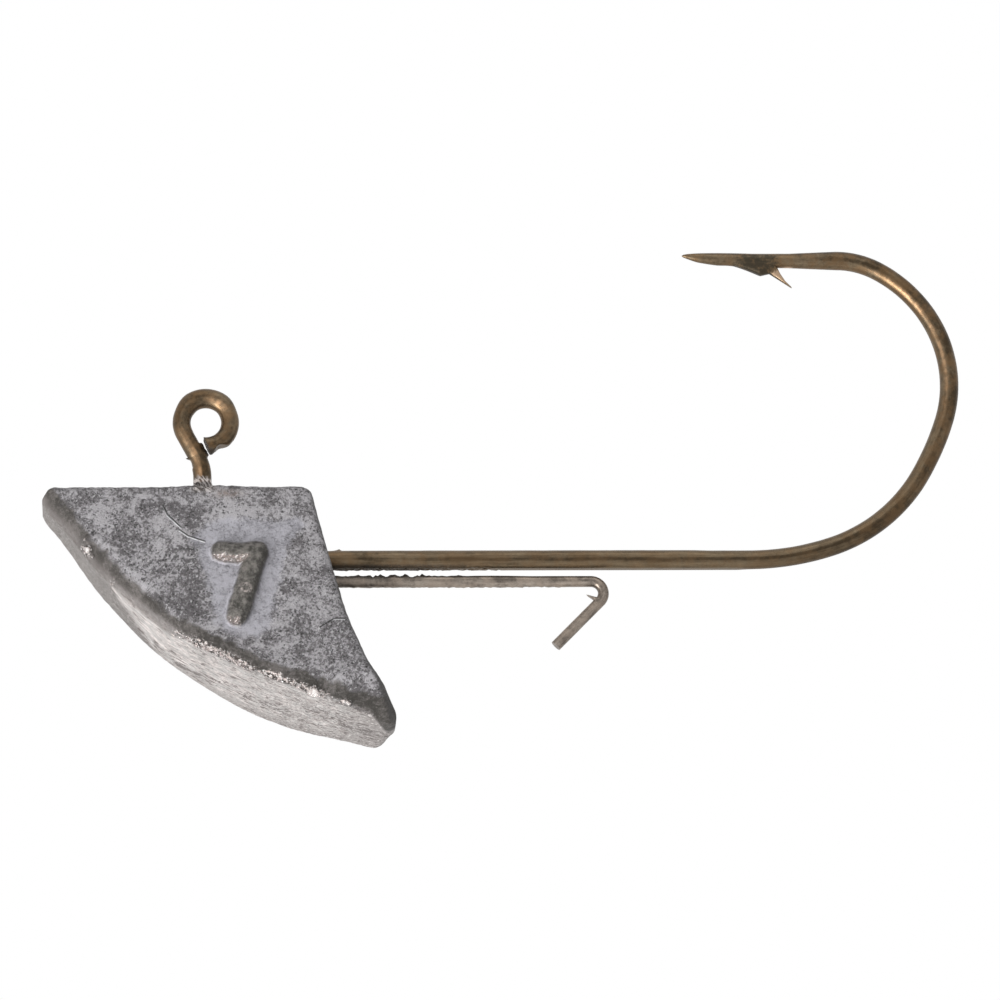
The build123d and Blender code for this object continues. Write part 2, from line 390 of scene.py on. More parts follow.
def ringFrames(rings):
    # each ring's centre, its directions across and along the wire, and its place along it
    centres = np.array([(r[0][0], 0.0, r[0][1]) for r in rings])
    headings = np.radians([r[1] for r in rings])
    zero = np.zeros(len(rings))
    across = np.stack([-np.sin(headings), zero, np.cos(headings)], axis=1)
    ahead = np.stack([np.cos(headings), zero, np.sin(headings)], axis=1)
    return centres, across, ahead, np.array([r[2] for r in rings])


def wireWindow(lengths, angles, zone):
    # 1 inside a stretch of the wire and round one side of it; 0 degrees faces the front
    start, end, soft, middle, width = zone
    inside = fade(lengths, start - soft, start) * fade(lengths, end + soft, end)
    return inside * bell(turnFrom(angles, middle), 0.0, width)


def shapeWire(bm, rings, radiusAt, spec):
    # sizes every ring of the swept wire, then adds its swells, ragged places and burrs
    centres, across, ahead, lengths = ringFrames(rings)
    co = np.array([v.co for v in bm.verts])
    index = np.arange(len(co)) // spec["sides"]
    offset = co - centres[index]
    offset /= np.linalg.norm(offset, axis=1)[:, None]
    upward = np.sum(offset * across[index], axis=1)
    angles = np.degrees(np.arctan2(upward, -offset[:, 1]))
    along = lengths[index]
    radius = np.array([radiusAt(s) for s in lengths])[index]
    local = np.stack([along * 0.5, offset[:, 1] * radius, upward * radius], axis=1)
    grain = noiseAt(local * np.array([6.0, 2.0, 2.0]), 1.5, spec["seed"] + 40)
    radius = radius * (1.0 + spec["roughness"] * noiseAt(local, 1.2, spec["seed"]))
    for *zone, rise in spec["swells"]:
        radius += rise * wireWindow(along, angles, zone)
    for *zone, rise in spec["ragged"]:
        radius += rise * grain * wireWindow(along, angles, zone)
    shift = np.zeros((len(co), 3))
    for start, end, middle, width, rise, lean in spec["burrs"]:
        ramp = np.clip((along - start) / (end - start), 0.0, 1.0) * (along <= end)
        spike = rise * ramp ** 2 * bell(turnFrom(angles, middle), 0.0, width)
        radius += spike
        shift -= lean * spike[:, None] * ahead[index]
    for vertex, where in zip(bm.verts, centres[index] + offset * radius[:, None] + shift):
        vertex.co = where


def wireSpace(co, rings):
    # each point's place along, beside and across the wire
    centres, across, ahead, lengths = ringFrames(rings)
    tree = treeOf(centres)
    index = np.array([tree.find(p)[1] for p in co])
    offset = co - centres[index]
    along = lengths[index] + np.sum(offset * ahead[index], axis=1)
    return np.stack([along, co[:, 1], np.sum(offset * across[index], axis=1)], axis=1)


def joined(first, second, name):
    # one closed skin from two that cross
    other = linked(name, second)
    mesh = applied(first, name, "BOOLEAN", operation="UNION", solver="EXACT", object=other)
    bpy.data.objects.remove(other)
    return mesh


# the hook: eye, stem, shank, bend and point in one wire, and the barb's sliver

hookSpec = {
    "sides": 32,
    "seed": 3,
    "eyeWireRadius": 0.43,
    "wireRadius": 0.46,
    "spearRadius": 0.36,
    "tipRadius": 0.012,
    "tipFullness": 0.45,
    "eyeRing": 1.20,
    "eyeEnd": -98.0,  # degrees round the ring
    "eyeGap": 0.33,
    "cutTilt": 5.0,  # degrees the cut stands steeper than the stem
    "cutReach": 1.4,  # how far along the wire the cut can reach
    "snipReach": 1.6,
    # the snipped underside of the eye's end, as X and Z along the cut
    "snip": [(0.267, -1.626), (0.622, -1.21), (1.146, -1.164), (1.328, -0.90)],
    "stemX": -0.16,
    "kneeZ": -2.26,
    "kneeRadius": 2.2,
    "elbowRadius": 1.6,
    "elbowGrowth": 0.9,  # the wire grows from eye to shank over this length
    "shankZ": -7.05,
    "shankEnd": 26.5,
    "bend": [(13.1, 18.0), (8.3, 40.7), (14.4, 12.7), (6.58, 80.0), (4.13, 28.6)],
    "spearTaper": 2.4,
    "spearStraight": 1.82,
    "pointLift": (4.0, -4.4),
    "pointLength": 3.18,
    "roughness": 0.012,
    # start, end and softness along the wire, side in degrees, width in degrees, rise
    "swells": [(3.2, 4.6, 0.8, -90.0, 60.0, 0.11), (0.0, 2.4, 0.6, 90.0, 80.0, 0.02),
               (5.0, 6.2, 0.5, 90.0, 80.0, 0.03), (7.26, 7.92, 0.06, 90.0, 28.0, 0.13),
               (7.75, 8.2, 0.15, -90.0, 50.0, -0.05), (8.2, 9.6, 0.4, -90.0, 60.0, 0.04),
               (19.0, 38.0, 1.5, -90.0, 80.0, 0.06), (19.0, 36.0, 1.5, 90.0, 80.0, 0.025),
               (69.6, 70.3, 0.9, 90.0, 70.0, 0.08)],
    "ragged": [(18.2, 26.5, 0.8, -90.0, 30.0, 0.24), (7.26, 7.92, 0.06, 90.0, 30.0, 0.02),
               (0.0, 1.0, 0.2, -90.0, 90.0, 0.05)],
    # start and end along the wire, side and width in degrees, rise, lean backwards
    "burrs": [(18.62, 19.10, 90.0, 18.0, 0.13, 0.0), (7.57, 7.70, -90.0, 19.0, 0.25, 0.8)],
    "barbSides": 20,
    "barbSteps": 48,
    "barbBack": 5.43,  # from the point back to the barb's tip
    "barbLength": 2.9,
    # the sliver's lower and upper side: X from its tip, Z from the middle of the spear
    "barbUnder": [(-2.9, -0.24), (-2.62, -0.33), (-2.13, -0.52), (-1.54, -0.78), (-1.09, -0.68),
                  (0.0, -1.43)],
    "barbOver": [(-2.9, 0.0), (-0.93, 0.0), (-0.72, -0.30), (-0.56, -0.67), (-0.31, -1.07), (0.0, -1.39)],
    # half its width along X from the tip, and how much of it the underside loses
    "barbWidths": [(-2.9, 0.24), (-1.6, 0.30), (0.0, 0.07)],
    "barbKeel": 0.25,
    "barbSquare": (0.6, 0.5),  # how full its section is, upwards and sideways
    "stemReach": 5.0,  # the length after which the wire is nearer the stem than the eye's end
    "stemEdge": ([6.0, 7.6, 8.5, 9.5], [0.03, 0.02, -0.04, -0.06]),  # where the stem's half with painted shade starts
    "reflectionLine": [-0.076, -0.076, 0.02, 0.12],  # across the wire, the painted dark reflection line: shank, start, middle and end of the bend
    "eyeTop": 3.2,  # length along the wire at the top of the eye
    "copperHighlightShares": (0.60, 0.45, 0.42),  # rubbed copper and painted highlight on the eye, down the stem and round the bend
    "freshLine": (-1.13, -0.75, 0.53),  # the bright cut lies below a line: X, Z, slope
    "forgedX": (-3.3, -2.1, -1.4, -0.2),  # X from the barb's tip of the patch left by forging
    # dark places round the eye's end: X, Z, reach
    "sooty": [(0.26, -1.56, 0.27), (-1.0, -1.83, 0.16), (-0.16, -1.13, 0.15), (-0.05, -1.35, 0.15),
              (0.04, -1.58, 0.15)],
}


def ringPoint(degrees):
    place = headed(degrees) * hookSpec["eyeRing"]
    return place.x, place.z


def hookLegs():
    # the wire's legs, marks by length along it, and where and how the stem leaves the ring
    s = hookSpec
    kneeReach = math.hypot(s["stemX"], s["kneeZ"])
    leave = math.degrees(math.atan2(-s["kneeZ"], -s["stemX"]) + math.asin(s["eyeRing"] / kneeReach))
    ringTurn = leave + 90.0 - s["eyeEnd"]
    leavePoint = ringPoint(leave + 90.0)
    kneeTurn = leave - 90.0
    kneeCut = s["kneeRadius"] * math.tan(math.radians(kneeTurn / 2))
    run = math.hypot(s["stemX"] - leavePoint[0], s["kneeZ"] - leavePoint[1]) - kneeCut
    stemRun = s["kneeZ"] - kneeCut - s["shankZ"] - s["elbowRadius"]
    shank = s["shankEnd"] - s["stemX"] - s["elbowRadius"]
    legs = [(s["eyeRing"], ringTurn, 0.08), (run, 0.0, 0.06), (s["kneeRadius"], -kneeTurn, 0.06),
            (stemRun, 0.0, 0.1), (s["elbowRadius"], 90.0, 0.2), (shank, 0.0, 0.12)]
    legs += [(radius, turn, 0.25) for radius, turn in s["bend"]]
    legs += [(s["spearTaper"], 0.0, 0.12), (s["spearStraight"], 0.0, 0.1), (*s["pointLift"], 0.1),
             (s["pointLength"], 0.0, 0.07)]
    ends = np.cumsum([size * math.radians(abs(turn)) if turn else size for size, turn, spacing in legs])
    names = {3: "elbow", 5: "bend", 5 + len(s["bend"]): "spear", -4: "thin", -2: "point"}
    return legs, {name: float(ends[n]) for n, name in names.items()}, leave, leavePoint


def barbEdges(tipX, spearZ):
    # where the sliver ends, and its lower and upper side as heights along X
    backX = tipX + hookSpec["barbBack"]
    edges = [([backX + x for x, z in hookSpec[key]], [spearZ + z for x, z in hookSpec[key]])
             for key in ("barbUnder", "barbOver")]
    return backX, *edges


def buildBarb(tipX, spearZ):
    # a ring drawn along X, then each ring takes the height and width of the sliver there
    s = hookSpec
    backX, under, over = barbEdges(tipX, spearZ)
    rootX = backX - s["barbLength"]
    bm = bmesh.new()
    turn = Matrix.Translation((rootX, 0.0, spearZ)) @ Matrix.Rotation(math.pi / 2, 4, "Y")
    bmesh.ops.create_circle(bm, segments=s["barbSides"], radius=1.0, matrix=turn)
    first = list(bm.edges)
    made = bmesh.ops.spin(bm, geom=first, cent=(0, 0, 0), axis=(0, 1, 0), angle=0.0, steps=s["barbSteps"],
                          dvec=Vector((s["barbLength"] / s["barbSteps"], 0.0, 0.0)))
    last = [g for g in made["geom_last"] if isinstance(g, bmesh.types.BMEdge)]
    widthX, widths = zip(*s["barbWidths"])
    for v in bm.verts:
        low, high = float(np.interp(v.co.x, *under)), float(np.interp(v.co.x, *over))
        width = float(np.interp(v.co.x - backX, widthX, widths))
        up = v.co.z - spearZ
        rise = math.copysign(abs(up) ** s["barbSquare"][0], up)
        lean = 1.0 - s["barbKeel"] * max(0.0, -up)
        v.co.z = (low + high) / 2 + (high - low) / 2 * rise
        v.co.y = math.copysign(abs(v.co.y) ** s["barbSquare"][1], v.co.y) * width * lean
    for rim in (first, last):
        bmesh.ops.contextual_create(bm, geom=rim)
    return closedMesh(bm, "barb")


def cutEye(bm, rings, leave, leavePoint):
    # the snipped and slanted end that closes the eye on its stem
    s = hookSpec
    starts = [(v, rings[n // s["sides"]][2]) for n, v in enumerate(bm.verts)]
    snipX, snipZ = zip(*s["snip"])
    for v, length in starts:
        if length < s["snipReach"] and v.co.x < snipX[-1]:
            v.co.z = max(v.co.z, float(np.interp(v.co.x, snipX, snipZ)))
    cutPlace = Vector((leavePoint[0], 0.0, leavePoint[1]))
    cutPlace += headed(leave - 90.0) * (s["eyeWireRadius"] + s["eyeGap"])
    cutNormal = headed(leave - 90.0 - s["cutTilt"])
    near = [v for v, length in starts if length < s["cutReach"]]
    geom = dict.fromkeys(item for v in near for item in (v, *v.link_edges, *v.link_faces))
    bmesh.ops.bisect_plane(bm, geom=list(geom), dist=1e-5, plane_co=cutPlace, plane_no=-cutNormal,
                           clear_outer=True)
    cap = bmesh.ops.contextual_create(bm, geom=[e for e in bm.edges if e.is_boundary])
    bmesh.ops.poke(bm, faces=cap["faces"])
    return cutPlace, cutNormal


def hookLooks(co, space, marks, fromCut, tipX, spearZ):
    # where the wire has painted shade, a painted dark reflection line and rubbed copper with a painted
    # highlight, and where it is sooty, scuffed, freshly cut or rough from forging
    s = hookSpec
    along, beside = space[:, 0], space[:, 2]
    elbow, bendStart, bendEnd = marks["elbow"], marks["bend"], marks["spear"]
    # a painted dark reflection line that wanders from under the shank to the middle of the bend
    reflectionLine = beside - np.interp(along, [elbow, bendStart, (bendStart + bendEnd) / 2, bendEnd], s["reflectionLine"])
    line = fade(along, elbow, elbow + 4.0) * fade(along, bendEnd - 6.0, bendStart)
    line = line * (0.35 + 0.65 * fade(along, 20.0, 26.0))
    # painted shade on one darker half round the bend and down the stem, away from the light; dark round the
    # eye but for its top; and a painted dark line beside the eye's highlight
    onBend = fade(along, bendStart - 1.0, bendStart + 6.0) * fade(along, bendEnd + 3.0, bendEnd)
    stem = fade(along, 5.9, 7.0) * fade(along, 10.4, 9.8)
    fromEdge = beside - np.interp(along, *s["stemEdge"])
    roundEye = 0.5 * fade(along, 6.6, 5.6) * fade(np.abs(along - s["eyeTop"]), 0.5, 1.2)
    overLight = bell(beside, -0.10, 0.05) * fade(along, 2.4, 3.0) * fade(along, 5.2, 4.2)
    shade = np.maximum.reduce([onBend * fade(reflectionLine, 0.04, -0.04), stem * fade(fromEdge, -0.03, 0.04), roundEye,
                               overLight])
    # rubbed copper that is also a painted highlight where the key light falls on the eye, the stem's left
    # side and the bend's inner side
    copperAndHighlight = [bell(along, s["eyeTop"], 0.62) * bell(beside, 0.08, 0.13),
              stem * fade(fromEdge, -0.36, -0.08) * fade(fromEdge, 0.03, -0.03),
              fade(along, bendEnd - 13.0, bendEnd - 7.0) * fade(along, bendEnd - 0.5, bendEnd - 3.5)
              * bell(reflectionLine, 0.15, 0.075)]
    copperAndHighlight = np.maximum.reduce([share * part for share, part in zip(s["copperHighlightShares"], copperAndHighlight)])
    # soot on the cut, round it, and along the underside of the shank's root
    sooty = fade(fromCut, 0.05, 0.01) * (along < 1.6) * (co[:, 2] < 0.0)
    for x, z, reach in s["sooty"]:
        sooty = np.maximum(sooty, fade(np.hypot(co[:, 0] - x, co[:, 2] - z), reach, reach * 0.4))
    lowEdge = fade(beside, -0.26, -0.40) * fade(along, 27.0, 22.0) * (along > 17.0)
    scuffed = fade(co[:, 2] + 0.12 * noiseAt(co, 4.0, 21), -2.82, -3.0) * (along < 11.0)
    # the barb: bright where it was cut, rough round its root
    backX, under = barbEdges(tipX, spearZ)[:2]
    lineX, lineZ, slope = s["freshLine"]
    x, z = co[:, 0] - backX, co[:, 2] - spearZ
    onBarb = (x > lineX - 0.1) & (x < 0.1) & (z > -2.0) & (z < 0.02 - s["spearRadius"])
    freshCut = onBarb * fade(lineZ + slope * (x - lineX) - z, -0.02, 0.06)
    freshCut = freshCut * fade(co[:, 2] - np.interp(co[:, 0], *under), 0.02, 0.10)
    start, full, thinner, end = s["forgedX"]
    forged = fade(x, start, full) * fade(x, end, thinner) * fade(z, 0.36, 0.10) * (z > -1.2)
    return {"reflectionLine": reflectionLine, "wireZones": np.stack([line, shade, copperAndHighlight * (co[:, 1] < 0.1)], axis=1),
            "sooty": np.maximum(sooty, 0.8 * lowEdge), "scuffed": scuffed, "freshCut": freshCut,
            "forgedPatch": forged}


def buildHook(material):
    s = hookSpec
    legs, marks, leave, leavePoint = hookLegs()
    bm, rings, lastEdges = sweepWire(ringPoint(s["eyeEnd"]), s["eyeEnd"] + 90.0, legs, s["eyeWireRadius"],
                                     s["sides"])

    def radiusAt(length):
        if length > marks["point"]:
            left = 1.0 - (length - marks["point"]) / s["pointLength"]
            return max(s["tipRadius"], s["spearRadius"] * left ** s["tipFullness"])
        grow = float(fade(np.array(length), marks["elbow"] - s["elbowGrowth"], marks["elbow"]))
        thin = float(np.clip((length - marks["spear"]) / s["spearTaper"], 0.0, 1.0))
        radius = s["eyeWireRadius"] + (s["wireRadius"] - s["eyeWireRadius"]) * grow
        return radius + (s["spearRadius"] - s["wireRadius"]) * thin

    shapeWire(bm, rings, radiusAt, s)
    bmesh.ops.contextual_create(bm, geom=lastEdges)
    cutPlace, cutNormal = cutEye(bm, rings, leave, leavePoint)
    spearZ = [r[0][1] for r in rings if r[2] <= marks["thin"]][-1]
    tipX = rings[-1][0][0]
    mesh = joined(closedMesh(bm, "wire"), buildBarb(tipX, spearZ), "jigHookWire")
    co = meshArrays(mesh)[0]
    space = wireSpace(co, rings)
    # points of the stem beside the eye's end belong to the stem
    pastStem = (co - np.array((leavePoint[0], 0.0, leavePoint[1]))) @ np.array(headed(leave - 90.0))
    ofStem = (pastStem < s["eyeWireRadius"] + 0.20) & (co[:, 2] < -0.6) & (co[:, 2] > -2.6) & (co[:, 0] < 0.6)
    space[ofStem] = wireSpace(co[ofStem], [r for r in rings if r[2] > s["stemReach"]])
    box = np.array(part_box("jig_hook")) / metre
    setPoints(mesh, np.clip(co, box[0], box[1]))
    fromCut = (co - np.array(cutPlace)) @ np.array(cutNormal)
    pointData(mesh, wireSpace=space, **hookLooks(co, space, marks, fromCut, tipX, spearZ))
    finishPiece("jigHookWire", mesh, "jig_hook", material, wireRim)


keeperSpec = {
    "sides": 24,
    "seed": 8,
    "radius": 0.27,
    "z": -8.14,
    "anchorX": 1.404,
    "anchorRadius": 0.80,
    "anchorLength": 1.0,
    "bendX": 18.75,
    "bendRadius": 0.60,
    "turn": 134.6,
    "leg": 3.15,
    "roughness": 0.015,
    "swells": [(4.5, 15.0, 2.0, 90.0, 60.0, 0.025), (4.5, 15.0, 2.0, -90.0, 60.0, 0.02)],
    "ragged": [(4.5, 13.0, 1.0, 90.0, 40.0, 0.07), (9.0, 11.4, 0.5, 90.0, 35.0, 0.12),
               (4.5, 18.0, 1.0, -90.0, 35.0, 0.045)],
    "burrs": [(20.92, 21.10, -90.0, 32.0, 0.50, -0.3)],
}


def buildKeeper(material):
    s = keeperSpec
    start = (s["anchorX"] - s["anchorRadius"], s["z"] - s["anchorRadius"] - s["anchorLength"])
    straight = s["bendX"] - s["anchorX"]
    legs = [(s["anchorLength"], 0.0, 0.3), (s["anchorRadius"], -90.0, 0.2), (straight, 0.0, 0.12),
            (s["bendRadius"], -s["turn"], 0.06), (s["leg"], 0.0, 0.08)]
    bm, rings, lastEdges = sweepWire(start, 90.0, legs, s["radius"], s["sides"])
    shapeWire(bm, rings, lambda length: s["radius"], s)
    firstEdges = [e for e in bm.edges if e.is_boundary and e not in lastEdges]
    for rim in (firstEdges, lastEdges):
        bmesh.ops.contextual_create(bm, geom=rim)
    mesh = closedMesh(bm, "baitKeeperWire")
    space = wireSpace(meshArrays(mesh)[0], rings)
    along, beside = space[:, 0], space[:, 2]
    # darker on top, at its root and down the leg, and sooty along the top near the lead
    ahead = fade(along, 20.2, 19.2)
    shade = np.maximum.reduce([1.1 * ahead * fade(beside, -0.14, 0.08), 0.9 * (1.0 - ahead),
                               0.9 * fade(along, 13.0, 8.0)])
    sooty = fade(beside, 0.13, 0.22) * fade(along, 18.0, 12.0)
    sooty = sooty + 0.7 * fade(along, 11.5, 8.0) * fade(beside, -0.1, 0.2)
    none = np.zeros(len(along))
    pointData(mesh, wireSpace=space, wireZones=np.stack([none, shade, none], axis=1),
              sooty=np.clip(sooty, 0.0, 1.0))
    finishPiece("baitKeeperWire", mesh, "bait_keeper", material, wireRim)


# lead casting: the CAD shape, remeshed finely and worked

leadSpec = {
    "voxel": 0.085,
    "mergeGap": 0.0005,
    "wireClear": (0.05, 0.45),  # distances from a wire's skin over which changes set in
    "pastRear": 12.0,  # an X beyond the lead
    "heelRoom": 0.35,  # how far the heel may swell past the solid
    "side": (1.3945, 0.0365, 0.2858, -3.79),  # half thickness, its changes along X and down from Z
    "collar": (0.43, 0.35, 0.80, 1.15, -4.1),  # wire radius, share kept, foot, where it fades, lowest Z
    # along X: how far the keel's near edge is set back from the side, over what height,
    # how much lower the keel lies, and how much lower still its far edge
    "edgeX": [-7.8, -6.6, -5.4, -4.2, -3.0, -1.8, -0.9, 0.3, 2.0, 4.0, 5.4, 6.6, 7.6, 8.6],
    "edgeBack": [0.70, 0.75, 0.75, 0.90, 0.95, 0.95, 0.60, 0.38, 0.30, 0.35, 0.55, 1.00, 1.90, 2.70],
    "edgeHigh": [0.9, 1.0, 1.1, 1.2, 1.1, 1.0, 0.9, 0.8, 0.8, 0.9, 1.1, 1.6, 2.2, 2.7],
    "keelLow": [-0.14, -0.12, 0.12, 0.21, 0.27, 0.34, 0.22, 0.10, 0.05, -0.04, -0.07, -0.06, -0.03, 0.0],
    "keelTilt": [0.12, 0.08, 0.06, 0.10, 0.16, 0.10, 0.11, 0.16, 0.20, 0.17, 0.11, 0.03, -0.05, -0.09],
    "topLift": (0.035, 0.14, 1.7),  # everywhere, at the stem, how far that reaches
    "noseRound": 0.85,
    "noseSwell": (0.14, -4.85, 0.55),  # forwards, at what height, over what height
    "heelDark": (7.9, 0.33, 2.7),  # where the dark skin runs down over the heel: X, its change with Y
    # how far the heel swells backwards, by height and by place through the thickness
    "heelZ": [-16.0, -15.5, -15.1, -14.7, -14.2, -13.6, -13.0],
    "heelSwell": [0.50, 0.39, 0.28, 0.25, 0.22, 0.09, 0.0],
    "heelY": [-4.5, -1.0, 0.4, 1.4, 2.6, 4.5],
    "heelShare": [1.0, 1.0, 1.05, 0.60, 0.05, -0.6],
    # uneven skin: height, waves per millimetre, seed
    "castWaves": (0.022, 0.55, 1),
    "castRipple": (0.010, 1.9, 2),
    "castGrain": (0.006, 4.6, 6),
    "topRough": (0.035, 1.6, 4),
    "ridgeRough": (0.045, 3.0, 5),
    "farChips": (0.10, 1.5, 7),
    # lumps on the keel's near edge: middle, radius, rise, how bright their painted highlight is
    "nubs": [((5.10, -3.66, -14.56), 0.54, 0.30, 1.7), ((6.72, -3.34, -15.10), 0.22, 0.14, 1.6),
             ((7.66, -3.35, -15.20), 0.13, 0.09, 1.6), ((-5.77, -2.15, -6.66), 0.40, 0.24, 0.45),
             ((-5.70, -2.10, -7.10), 0.33, 0.18, 1.7), ((-5.54, -2.13, -7.46), 0.16, 0.10, 1.6),
             ((-4.43, -2.26, -8.60), 0.12, 0.08, 1.6)],
    # clusters of short cracks on the keel: length from the nose, Y, reach each way, amount
    "crackClusters": [(15.0, 0.95, 1.0, 0.5, 0.15), (19.3, 0.3, 1.1, 1.0, 0.13), (17.6, -0.8, 1.3, 0.8, 0.07),
                      (11.8, 0.8, 0.9, 0.5, 0.08), (7.9, 0.9, 1.2, 0.4, 0.16), (9.8, 1.6, 1.6, 0.4, 0.16)],
    # how much torn bright metal, partly painted highlight, the keel's near edge shows, by length from the
    # nose
    "shineAt": [0.0, 2.7, 3.0, 3.5, 3.9, 4.9, 5.3, 5.8, 8.6, 9.3, 10.2, 10.9, 13.2, 13.9, 14.6, 15.8,
                16.3, 17.1, 17.7, 18.4, 18.9, 19.3, 19.7, 20.4],
    "shine": [0.0, 0.0, 0.55, 0.6, 0.12, 0.15, 0.5, 0.08, 0.12, 0.6, 0.55, 0.95, 0.95, 0.6, 0.85, 0.7,
              0.95, 0.9, 0.4, 0.6, 0.3, 0.4, 0.1, 0.0],
    # the smooth pale field round the figure
    "panel": [(-0.86, -6.66), (-0.34, -7.76), (-0.01, -8.74), (0.23, -9.94), (0.31, -11.04), (0.75, -11.55),
              (1.36, -11.85), (2.41, -11.90), (3.00, -11.35), (3.35, -9.92), (3.60, -8.27), (3.90, -6.89),
              (4.67, -5.77), (4.40, -5.45), (3.07, -5.60), (2.2, -5.35), (0.9, -5.35), (0.0, -5.95)],
    "stain": (1.0, -4.05, 0.75, 0.22),  # warm stain below the stem: X, Z, reach along X and Z
    # darker (more than 0) and paler places of the sides: X, Z, reach along X and Z, amount
    "tones": [(-1.0, -5.15, 1.0, 0.65, 0.26), (-2.75, -4.85, 0.7, 0.45, 0.18), (-1.3, -7.3, 0.75, 1.1, 0.20),
              (-0.85, -9.7, 0.75, 1.5, 0.24), (-3.1, -8.8, 0.7, 0.7, -0.14), (-4.9, -5.2, 0.9, 0.7, -0.14),
              (-5.3, -6.2, 0.7, 0.6, -0.16), (-3.95, -4.5, 0.6, 0.4, -0.08), (3.3, -4.7, 0.9, 0.45, 0.02),
              (4.1, -5.1, 0.5, 0.5, 0.05), (3.85, -8.4, 0.25, 1.2, 0.04), (4.8, -9.2, 0.6, 1.2, 0.06),
              (2.75, -12.2, 0.25, 0.5, 0.22), (4.9, -12.3, 1.3, 0.8, 0.08), (0.7, -12.2, 1.0, 0.5, 0.16),
              (5.5, -10.7, 0.5, 0.5, -0.10), (7.6, -14.9, 0.9, 0.9, 0.34), (8.2, -15.6, 0.7, 0.7, 0.30),
              (-6.9, -4.6, 0.7, 0.6, 0.16), (0.9, -5.1, 1.1, 0.6, -0.32), (6.4, -12.6, 0.9, 1.0, 0.15),
              (-5.45, -7.65, 0.5, 0.5, 0.55), (-2.48, -10.1, 0.5, 0.4, 0.30),
              (5.12, -13.96, 0.9, 0.35, 0.30)],
    "farTone": 0.4,  # the share of those tones that the far side has
    "brushed": (-1.6, -8.0, 1.5, 2.2),  # where the skin is brushed one way: X, Z, reach along X and Z
    "figure": [(0.75, -7.31), (1.45, -7.40), (2.42, -7.28), (1.45, -10.76)],
    "figureRadius": 0.56,
    "figureRelief": 0.42,
    "figureWaver": (0.05, 1.6),
    "ringMark": (1.80, -9.42, 0.27),
}


def remeshed(node):
    # the solid's skin, made anew with small even faces
    bm = bmesh.new()
    bm.from_mesh(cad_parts[node].data)
    bmesh.ops.scale(bm, vec=(1.0 / metre,) * 3, verts=bm.verts)
    bmesh.ops.remove_doubles(bm, verts=bm.verts, dist=leadSpec["mergeGap"])
    return applied(meshFrom(bm, "leadSource"), "leadSource", "REMESH", mode="VOXEL",
                   voxel_size=leadSpec["voxel"])


def relax(co, edges, weight, rounds):
    # draws each point towards the middle of its neighbours
    count = len(co)
    links = np.bincount(edges.ravel(), minlength=count).astype(float)
    for n in range(rounds):
        total = np.stack([np.bincount(edges[:, 0], co[edges[:, 1], k], count)
                          + np.bincount(edges[:, 1], co[edges[:, 0], k], count) for k in range(3)], axis=1)
        co = co + (total / links[:, None] - co) * (0.5 * weight)[:, None]
    return co


def lineGap(co, start, end):
    # distance in the X-Z plane to a straight stroke
    a, b = np.array(start), np.array(end)
    reach = co[:, [0, 2]] - a
    share = np.clip(reach @ (b - a) / ((b - a) @ (b - a)), 0.0, 1.0)
    return np.linalg.norm(reach - share[:, None] * (b - a), axis=1)


def turnGap(co, middle, radius):
    # distance in the X-Z plane to a turn of wire
    return np.abs(np.hypot(co[:, 0] - middle[0], co[:, 2] - middle[1]) - radius)


def wireGap(co):
    # how far each point is from the skin of the two wires inside the lead
    h, k, rear = hookSpec, keeperSpec, leadSpec["pastRear"]
    elbow = (h["stemX"] + h["elbowRadius"], h["shankZ"] + h["elbowRadius"])
    turn = (k["anchorX"], k["z"] - k["anchorRadius"])
    footX = k["anchorX"] - k["anchorRadius"]
    inElbow = (co[:, 0] < elbow[0]) & (co[:, 2] < elbow[1])
    inTurn = (co[:, 0] < turn[0]) & (co[:, 2] > turn[1])
    hookLine = np.minimum.reduce([
        lineGap(co, (h["stemX"], 0.0), (h["stemX"], elbow[1])),
        lineGap(co, (elbow[0], h["shankZ"]), (rear, h["shankZ"])),
        np.where(inElbow, turnGap(co, elbow, h["elbowRadius"]), farAway)])
    keeperLine = np.minimum.reduce([
        lineGap(co, (turn[0], k["z"]), (rear, k["z"])),
        lineGap(co, (footX, turn[1]), (footX, turn[1] - k["anchorLength"])),
        np.where(inTurn, turnGap(co, turn, k["anchorRadius"]), farAway)])
    return np.minimum(np.hypot(hookLine, co[:, 1]) - h["wireRadius"],
                      np.hypot(keeperLine, co[:, 1]) - k["radius"])


def figureDistance(co):
    # distance to the middle line of the raised figure, a little uneven as poured
    s = leadSpec
    gap = np.minimum.reduce([lineGap(co, start, end) for start, end in zip(s["figure"], s["figure"][1:])])
    return gap + s["figureWaver"][0] * noiseAt(co * flat, s["figureWaver"][1], 21)


def outlineDepth(co, corners):
    # how far inside a closed outline of the X-Z plane each point lies; less than 0 outside
    inside = np.zeros(len(co), dtype=bool)
    gap = np.full(len(co), farAway)
    for a, b in zip(corners, corners[1:] + corners[:1]):
        gap = np.minimum(gap, lineGap(co, a, b))
        crosses = (a[1] > co[:, 2]) != (b[1] > co[:, 2])
        rise = b[1] - a[1] if b[1] != a[1] else 1e-9
        inside ^= crosses & (co[:, 0] < (b[0] - a[0]) * (co[:, 2] - a[1]) / rise + a[0])
    return np.where(inside, gap, -gap)


def keelLine(points):
    # middle line of the keel, one station each quarter millimetre
    stations = np.arange(points[:, 0].min(), points[:, 0].max() + 0.25, 0.25)
    return np.stack([stations, np.interp(stations, points[:, 0], points[:, 2])], axis=1)


